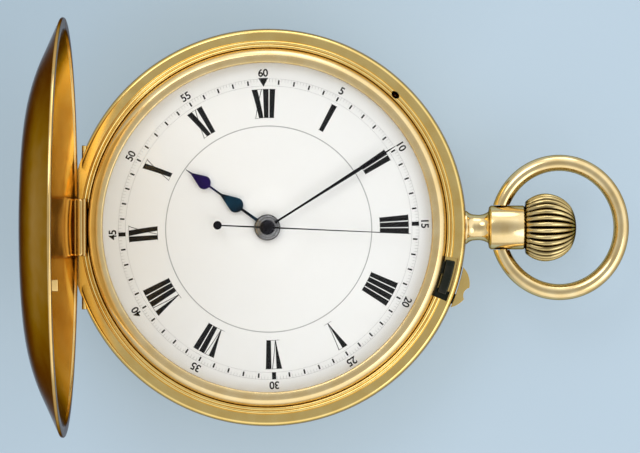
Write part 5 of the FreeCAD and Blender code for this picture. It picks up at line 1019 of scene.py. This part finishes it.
def makeFrontCover():
    c, a, k = frontCover, coverArm, coverLatch
    base = c["base"]
    crownArc = arcThrough(c["crownRadius"], c["crownDepth"])
    shoulder = base + c["depth"] - c["crownDepth"]
    slope = math.atan2(c["coneDepth"] - c["lip"], c["rim"] - c["coneRadius"])
    innerCone = c["coneRadius"] - c["wall"] * math.sin(slope)
    innerConeHeight = base + c["coneDepth"] - c["wall"] * math.cos(slope)
    foot, inRim = base + c["lipLow"], c["rim"] - c["rimRound"]
    bm = spun([
        (0, base + c["depth"] - c["wall"], -crownArc),
        (c["crownRadius"], shoulder - c["wall"], -c["bend"]),
        (innerCone, innerConeHeight),
        (c["insideRing"], base + c["lip"]),
        *[(c["insideRing"] + out, base + up) for out, up in c["ringSteps"]],
        (inRim, foot, c["rimRound"]),
        (c["rim"], base + c["rimWall"]),
        (c["rim"], base + c["lip"] - c["rimTop"][0], c["rimArc"]),
        (inRim, base + c["lip"] + c["rimTop"][1]),
        (c["coneRadius"], base + c["coneDepth"], c["bend"]),
        (c["crownRadius"], shoulder, crownArc),
        (0, base + c["depth"]),
    ], segments=c["segments"], steps=16, closed=False, soft=c["soft"])
    x, z, half, wide = -hinge["x"], hinge["height"], hinge["coverHalf"], hinge["radius"]
    knuckle = rodAcross(x, z, -half, half, wide)
    arm = box((x - wide, -half, z), (x + wide, half, base + a["above"]))
    lug = slab(sectorPlan(k["lugInner"], k["outer"], k["start"], k["end"]),
               rimHeight - k["low"], base + k["lugAbove"])
    hook = slab(sectorPlan(k["hookInner"], k["outer"], k["start"], k["end"]),
                rimHeight - k["low"], rimHeight - k["hookHigh"])
    soften(arm, a["soft"], 5)
    soften(lug, k["lugSoft"], 3)
    soften(hook, k["hookSoft"], 3)
    bore = rodAcross(x, z, -hinge["boreReach"], hinge["boreReach"], hinge["pinBore"])
    piece("frontCover", openUp(bm), "front_cover", "coverGold", ["front_cover"],
          added=[openUp(extra) for extra in (knuckle, arm, lug, hook)], cutters=[openUp(bore)],
          smooth=35)


makeFrontCover()
print("front cover ready")


# pendant, crown and bow

pendant = {"flare": 2.25, "neck": 1.75, "start": 26.4, "flareEnd": 26.95, "flareEase": (0.12, 27.1),
           "flareArc": -1.5, "neckAt": 28.1, "neckArc": -2.4, "headFoot": (0.85, 0.1),
           "head": 2.98, "headStart": 30.0, "headEnd": 34.9, "footEase": 0.25,
           "topEase": (0.3, 0.1), "bore": 0.63, "soft": 0.06, "segments": 160}
crown = {"start": 34.95, "end": 41.85, "radius": 4.6, "belly": 2.65, "skirt": 3.6,
         "skirtEase": (0.12, 0.1), "skirtStep": (0.02, 0.14), "shoulder": 2.85,
         "shoulderDrop": 0.75, "grooveDepth": 0.5, "grooveFrom": (0.02, 0.08),
         "grooveTo": (0.955, 0.10), "ribRound": 0.8, "bore": 3.10, "boreDepth": 0.65,
         "boreMargin": 0.2, "stepsRound": 12}
bow = {"centre": 39.55, "halfX": 8.39, "halfY": 8.76, "wire": 1.09, "pivotX": 32.0,
       "eyeFrom": 3.03, "pastPivot": 13, "steps": 144, "sides": 40, "eyeBlock": (20, 36, 3),
       "bore": (2.5, 4.1), "boreGap": 0.03, "pin": 0.5, "pinEnds": (0.95, 4.05)}


def alongPendant(bm):
    return movedBy(bm, (0, 0, stemHeight))


def makePendant():
    p = pendant
    bm = spun([
        (p["bore"], p["start"]),
        (p["flare"], p["start"]),
        (p["flare"], p["flareEnd"]),
        (p["flare"] - p["flareEase"][0], p["flareEase"][1], p["flareArc"]),
        (p["neck"], p["neckAt"], p["neckArc"]),
        (p["head"] - p["headFoot"][0], p["headStart"] - p["headFoot"][1]),
        (p["head"] - p["footEase"], p["headStart"]),
        (p["head"], p["headStart"] + p["footEase"]),
        (p["head"], p["headEnd"] - p["topEase"][0]),
        (p["head"] - p["topEase"][1], p["headEnd"] - p["topEase"][1]),
        (p["head"] - p["topEase"][0], p["headEnd"]),
        (p["bore"], p["headEnd"]),
    ], around="X", segments=p["segments"], soft=p["soft"], softSegments=3)
    piece("pendantNeck", alongPendant(bm), "case", "paleGold", ["pendant"])


def makeCrown():
    c = crown
    ribs = crownRibs["count"]
    endArc = arcThrough(c["shoulder"], c["shoulderDrop"])
    lowerArc = arcThrough(c["belly"], c["radius"] - c["skirt"])
    upperArc = arcThrough(c["end"] - c["start"] - c["belly"] - c["shoulderDrop"],
                          c["radius"] - c["shoulder"])
    floor = c["start"] + c["boreDepth"]
    bm = spun([
        (0, floor),
        (c["bore"], floor),
        (c["bore"], c["start"]),
        (c["skirt"] - c["skirtEase"][0], c["start"]),
        (c["skirt"], c["start"] + c["skirtEase"][1]),
        (c["skirt"] + c["skirtStep"][0], c["start"] + c["skirtStep"][1], lowerArc),
        (c["radius"], c["start"] + c["belly"], upperArc),
        (c["shoulder"], c["end"] - c["shoulderDrop"], endArc),
        (0, c["end"]),
    ], segments=ribs * c["stepsRound"], steps=18, closed=False)
    (first, firstRun), (last, lastRun) = c["grooveFrom"], c["grooveTo"]
    for vert in bm.verts:
        radius = math.hypot(vert.co.x, vert.co.y)
        inBore = radius < c["bore"] + c["boreMargin"] and vert.co.z < floor + c["boreMargin"]
        if inBore or radius <= c["grooveDepth"]:
            continue
        share = (vert.co.z - c["start"]) / (c["end"] - c["start"])
        fade = min(1, max(0, (share - first) / firstRun)) * min(1, max(0, (last - share) / lastRun))
        turn = math.atan2(vert.co.y, vert.co.x) * ribs / (2 * math.pi) % 1
        rib = abs(math.sin(math.pi * turn)) ** c["ribRound"]
        depth = c["grooveDepth"] * fade * (1 - rib)
        vert.co.x *= (radius - depth) / radius
        vert.co.y *= (radius - depth) / radius
    piece("crownButton", alongPendant(turnedBy(bm, 90, "Y")), "crown", "crownGold", ["crown"],
          smooth=60)


def makeBow():
    b = bow
    reachAngle = math.degrees(math.acos((b["pivotX"] - b["centre"]) / b["halfX"])) + b["pastPivot"]
    bm = bmesh.new()
    bmesh.ops.create_circle(bm, segments=b["sides"], radius=b["wire"])
    movedBy(turnedBy(bm, 90, "X"), (b["halfY"], 0, 0))
    turnedBy(bm, -reachAngle)
    bmesh.ops.spin(bm, geom=list(bm.verts) + list(bm.edges), cent=(0, 0, 0), axis=(0, 0, 1),
                   angle=math.radians(2 * reachAngle), steps=b["steps"])
    bmesh.ops.holes_fill(bm, edges=[e for e in bm.edges if e.is_boundary], sides=0)
    bmesh.ops.recalc_face_normals(bm, faces=bm.faces)
    bmesh.ops.scale(bm, verts=bm.verts, vec=(b["halfX"] / b["halfY"], 1, 1))
    movedBy(bm, (b["centre"], 0, 0))
    near, far, deep = b["eyeBlock"]
    between = box((near, -b["eyeFrom"], stemHeight - deep), (far, b["eyeFrom"], stemHeight + deep))

    def acrossEye(ends, radius):
        return [rodAcross(b["pivotX"], stemHeight, side * ends[0], side * ends[1], radius, 32)
                for side in (1, -1)]

    bores = acrossEye(b["bore"], b["pin"] + b["boreGap"])
    piece("bowRing", alongPendant(bm), "bow", "paleGold", ["bow"], cutters=[between] + bores,
          smooth=40)
    piece("bowPins", joined(acrossEye(b["pinEnds"], b["pin"])), "case", "gold", ["bow_screws"])


makePendant()
makeCrown()
makeBow()
print("pendant, crown and bow ready")


# catch, springs and the stop slide

catch = {"middle": -15.8, "half": 5.0, "inner": 24.5, "outer": 25.75, "inset": 0.2,
         "step": 0.1, "barOver": 0.6, "postIn": 1, "postFoot": 1, "post": (9.35, 9.97),
         "postTop": 0.9, "noseTop": (1, 0.3), "lipTop": (0.47, 0.1), "springInner": 23.4,
         "springOuter": 24.0, "floor": 7.4, "height": 1.8, "start": -75.0, "end": 6,
         "soft": 0.07, "lipSoft": 0.28,
         "hole": (20, 25, 0.68)}
thumb = {"middle": -17.5, "half": 6.0, "reach": 28.5, "low": 8.95, "high": 10.45, "gap": 0.03,
         "gripReach": 0.55, "gripTurn": 1, "gripRadius": 1.1, "gripOver": 1, "soft": 0.3}


def makeCatch():
    c = catch
    post = (c["middle"] + c["postIn"], c["middle"] + c["half"])
    bar = (c["middle"] - c["half"], c["middle"] + c["half"] + c["barOver"])
    postLow, postHigh = c["post"]
    outer = c["outer"] - c["inset"]
    spring = slab(sectorPlan(c["springInner"], c["springOuter"], c["start"], c["end"]),
                  c["floor"], c["floor"] + c["height"], 48)
    levels = ((c["springInner"], c["springOuter"], post, c["floor"] + c["postFoot"], postHigh),
              (c["springInner"] + c["step"], outer, post, postLow, postHigh),
              (c["inner"], outer, post, postLow, rimHeight - c["postTop"]),
              (c["inner"], outer, bar, *[rimHeight - drop for drop in c["noseTop"]]),
              (c["inner"], c["outer"], bar, *[rimHeight - drop for drop in c["lipTop"]]))
    parts = [slab(sectorPlan(inner, outer, *ends), low, high)
             for inner, outer, ends, low, high in levels]
    soften(parts[3], c["soft"], 3)
    soften(parts[4], c["lipSoft"], 5)
    near, far, radius = c["hole"]
    hole = rod((near, 0, stemHeight), (far, 0, stemHeight), radius)
    piece("lockSpring", joined([spring]), "lock_spring", "darkSteel", ["lock_spring"],
          added=parts, cutters=[hole])


def makeThumbPiece():
    t = thumb
    inner = reach("case_middle") + t["gap"]
    across, along = polar(inner, t["half"])[::-1]
    arc = arcThrough(across, t["reach"] - along)
    bm = slab([(*polar(inner, t["middle"] - t["half"]), arc),
               (*polar(inner, t["middle"] + t["half"]), -inner)], t["low"], t["high"], 24)
    x, y = polar(t["reach"] + t["gripReach"], t["middle"] - t["gripTurn"])
    grip = rod((x, y, t["low"] - t["gripOver"]), (x, y, t["high"] + t["gripOver"]),
               t["gripRadius"], 48)
    item = piece("stopThumbPiece", bm, "stop_slide", "gold", ["stop_thumb_piece"], cutters=[grip])
    rounded = bmesh.new()
    rounded.from_mesh(item.data)
    bmesh.ops.remove_doubles(rounded, verts=rounded.verts, dist=1e-7)
    soften(rounded, t["soft"] * mm, 5, 40)
    rounded.to_mesh(item.data)
    rounded.free()
    shaded(item.data, 35)


makeCatch()
makeThumbPiece()
print("catch and stop slide ready")


# back covers

backShell = {"rest": 8.5, "side": 4.3, "wall": 0.5, "innerRadius": 26.1, "innerSide": 4.55,
             "lowEase": (0.02, 0.04), "sideUp": 0.1, "edgeEase": (0.15, 0.06), "hingeX": 26.6,
             "hingeHeight": 4.65, "knuckle": 0.5, "half": 4.05, "relief": 0.05, "inward": 0.1,
             "coverHalf": 1.6, "armWidth": 1.1, "segments": 300}
dustShell = {"radius": 24.2, "edge": 3.9, "wall": 0.4, "centre": 1.9, "high": 5.1,
             "hingeX": 24.75, "hingeHeight": 4.75, "knuckle": 0.4, "armIn": 0.1, "half": 1.2}


def hingeParts(x, z, half, knuckle, armEnd):
    arm = box((x, -half, z - knuckle), (armEnd, half, z))
    bore = rodAcross(x, z, -hinge["backReach"], hinge["backReach"], hinge["pinBore"], 24)
    return rodAcross(x, z, -half, half, knuckle), arm, bore


def makeBackCover():
    b = backShell
    edge = reach("case_middle") - caseBand["edgeInset"]
    outerArc = arcThrough(edge - b["rest"], b["side"])
    innerArc = arcThrough(b["innerRadius"] - b["rest"], b["innerSide"] - b["wall"])
    brim = backEdge - b["edgeEase"][1]
    bm = spun([
        (0, 0),
        (b["rest"], 0, outerArc),
        (edge - b["lowEase"][0], b["side"] - b["lowEase"][1]),
        (edge, b["side"] + b["sideUp"]),
        (edge, backEdge - b["edgeEase"][0]),
        (edge - b["sideUp"], brim),
        (b["innerRadius"], brim),
        (b["innerRadius"], b["innerSide"], -innerArc),
        (b["rest"], b["wall"]),
        (0, b["wall"]),
    ], segments=b["segments"], steps=24, closed=False)
    x, z, relief = -b["hingeX"], b["hingeHeight"], b["knuckle"] + b["relief"]
    notch = box((-edge - spare, -b["half"], z - relief),
                (x + relief + b["inward"], b["half"], backEdge + 1))
    knuckle, arm, bore = hingeParts(x, z, b["coverHalf"], b["knuckle"], x + b["armWidth"])
    item = piece("backCover", bm, "back_cover", "coverGold", ["back_cover"], cutters=[notch])
    for extra, operation in ((knuckle, "UNION"), (arm, "UNION"), (bore, "DIFFERENCE")):
        addedTo(item, extra, operation)


def makeDustCover():
    d = dustShell
    outerArc = arcThrough(d["radius"], d["edge"] - d["centre"])
    inner = d["radius"] - d["wall"]
    innerArc = arcThrough(inner, d["edge"] - d["centre"])
    bm = spun([
        (0, d["centre"], outerArc),
        (d["radius"], d["edge"]),
        (d["radius"], d["high"]),
        (inner, d["high"]),
        (inner, d["edge"] + d["wall"], -innerArc),
        (0, d["centre"] + d["wall"]),
    ], segments=backShell["segments"], steps=24, closed=False)
    knuckle, arm, bore = hingeParts(-d["hingeX"], d["hingeHeight"], d["half"], d["knuckle"],
                                    -inner - d["armIn"])
    piece("dustCover", bm, "dust_cover", "coverGold", ["dust_cover"], added=[knuckle, arm],
          cutters=[bore])


makeBackCover()
makeDustCover()
print("back covers ready")


# everything else keeps its modelled form, with its facets smoothed

def makeRest():
    taken = {name for item in bpy.data.objects for name in item.get("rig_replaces", [])}
    for entry in frame["record"]["subparts"]:
        name, slotName = entry["node"], entry["material_slot"]
        if name in taken:
            continue
        words = name.split("_")
        label = words[0] + "".join(word.capitalize() for word in words[1:])
        body = body_of(nodes[name])[0]
        piece(label, mergedCopy(name), body, slotFinish[slotName], [name])


makeRest()
print("movement ready")


# camera, floor and light

view = {"height": 516.0, "aimX": 7.1, "aimY": 0.13, "imageWidth": 86.2, "sensor": 36.0}
# the floor's two colours paint one side darker than the other, a painted shade
studio = {"floorLight": (0.485, 0.605, 0.71), "floorDark": (0.405, 0.515, 0.605),
          "across": (0.8, -0.6, 0), "darkFrom": -0.045, "lightFrom": 0.010, "floorSize": 3.0,
          "lit": 0.62, "glow": 0.46, "rough": 0.9, "level": 0.1}
# a card seen only in reflections, a painted reflection
tanCard = {"inner": 0.053, "outer": 0.45, "lift": 0.0003, "colour": (0.52, 0.47, 0.40)}
lamps = {
    "key": {"at": (-0.30, 0.50, 0.75), "size": 0.5, "power": 1.2},
    "fill": {"at": (0.55, -0.35, 0.60), "size": 0.6, "power": 1.0},
    "edge": {"at": (0.10, 0.75, 0.22), "size": 0.4, "power": 0.55},
}
sky = {"heights": ((0.0, 0.60), (0.10, 1.05), (0.72, 1.15), (0.92, 0.58), (1.0, 0.45)),
       "left": (-0.95, -0.2, 0.35), "right": (0.95, 0.3, 0.95)}   # from, to, dimmed to


def addCamera():
    data = bpy.data.cameras.new("mainCamera")
    data.sensor_width = view["sensor"]
    data.lens = view["sensor"] * view["height"] / view["imageWidth"]
    data.clip_start = 0.01
    data.clip_end = 10
    camera = linked("mainCamera", data)
    camera.location = (view["aimX"] * mm, view["aimY"] * mm, rim + view["height"] * mm)
    bpy.context.scene.camera = camera


def staged(name, bm, finish):
    mesh = bpy.data.meshes.new(name)
    bm.to_mesh(mesh)
    bm.free()
    mesh.materials.append(materials[finish])
    item = linked(name, mesh)
    return item


def addFloor():
    s = studio
    bm = bmesh.new()
    bmesh.ops.create_grid(bm, x_segments=1, y_segments=1, size=s["floorSize"] / 2)
    tree, shader = shaderMaterial("floorPaper")
    turned = node(tree, "ShaderNodeVectorMath", {0: objectCoords(tree), 1: s["across"]},
                  operation="DOT_PRODUCT")["Value"]
    # painted shade: the paper turns darker towards one side, as if the light fell from the other
    paper = blend(tree, ranged(tree, turned, s["darkFrom"], s["lightFrom"]),
                  s["floorDark"], s["floorLight"])
    lit = node(tree, "ShaderNodeVectorMath", {0: paper, "Scale": s["lit"]}, operation="SCALE")[0]
    path = node(tree, "ShaderNodeLightPath")
    seen = maths(tree, "MAXIMUM", path["Is Camera Ray"], path["Is Glossy Ray"])
    seen = maths(tree, "MAXIMUM", seen, path["Is Transmission Ray"])
    fill(tree, shader.inputs, {
        "Base Color": lit, "Roughness": s["rough"], "Specular IOR Level": s["level"],
        "Emission Color": paper, "Emission Strength": maths(tree, "MULTIPLY", seen, s["glow"])})
    staged("floor", movedBy(bm, (0, 0, rest)), "floorPaper")


def addCard():
    # a flat tan card all round, outside the view, that only the polished metal shows: a painted
    # reflection, unseen by the camera, by diffuse light and by shadows
    bm = spun([(tanCard["inner"], 0), (tanCard["outer"], 0)], segments=96, closed=False)
    tree, shader = shaderMaterial("cardPaper")
    fill(tree, shader.inputs, {"Base Color": tanCard["colour"], "Roughness": studio["rough"]})
    card = staged("tanCard", movedBy(bm, (view["aimX"] * mm, 0, rest + tanCard["lift"])),
                  "cardPaper")
    card.visible_camera = card.visible_diffuse = False
    card.visible_shadow = card.visible_transmission = False


def addLamps():
    for name, lamp in lamps.items():
        data = bpy.data.lights.new(name, "AREA")
        data.shape = "DISK"
        data.size = lamp["size"]
        data.energy = lamp["power"]
        item = linked(name, data)
        item.location = lamp["at"]
        item.rotation_euler = (-Vector(lamp["at"])).to_track_quat("-Z", "Y").to_euler()


def addWorld():
    world = bpy.data.worlds.new("studio")
    world.use_nodes = True
    tree = world.node_tree
    split = node(tree, "ShaderNodeSeparateXYZ",
                 {0: node(tree, "ShaderNodeTexCoord")["Generated"]})
    ramp = tree.nodes.new("ShaderNodeValToRGB")
    marks = ramp.color_ramp.elements
    for index, (position, grey) in enumerate(sky["heights"]):
        mark = marks[index] if index < 2 else marks.new(position)
        mark.position = position
        mark.color = (grey, grey, grey, 1)
    tree.links.new(split["Z"], ramp.inputs[0])
    level = maths(tree, "MULTIPLY", ranged(tree, split["X"], *sky["left"]),
                  ranged(tree, split["X"], *sky["right"]))
    fill(tree, tree.nodes["Background"].inputs, {"Color": ramp.outputs[0], "Strength": level})
    bpy.context.scene.world = world


addCamera()
addFloor()
addCard()
addLamps()
addWorld()
bpy.context.scene.view_settings.view_transform = "Standard"
print("camera, floor and light ready")
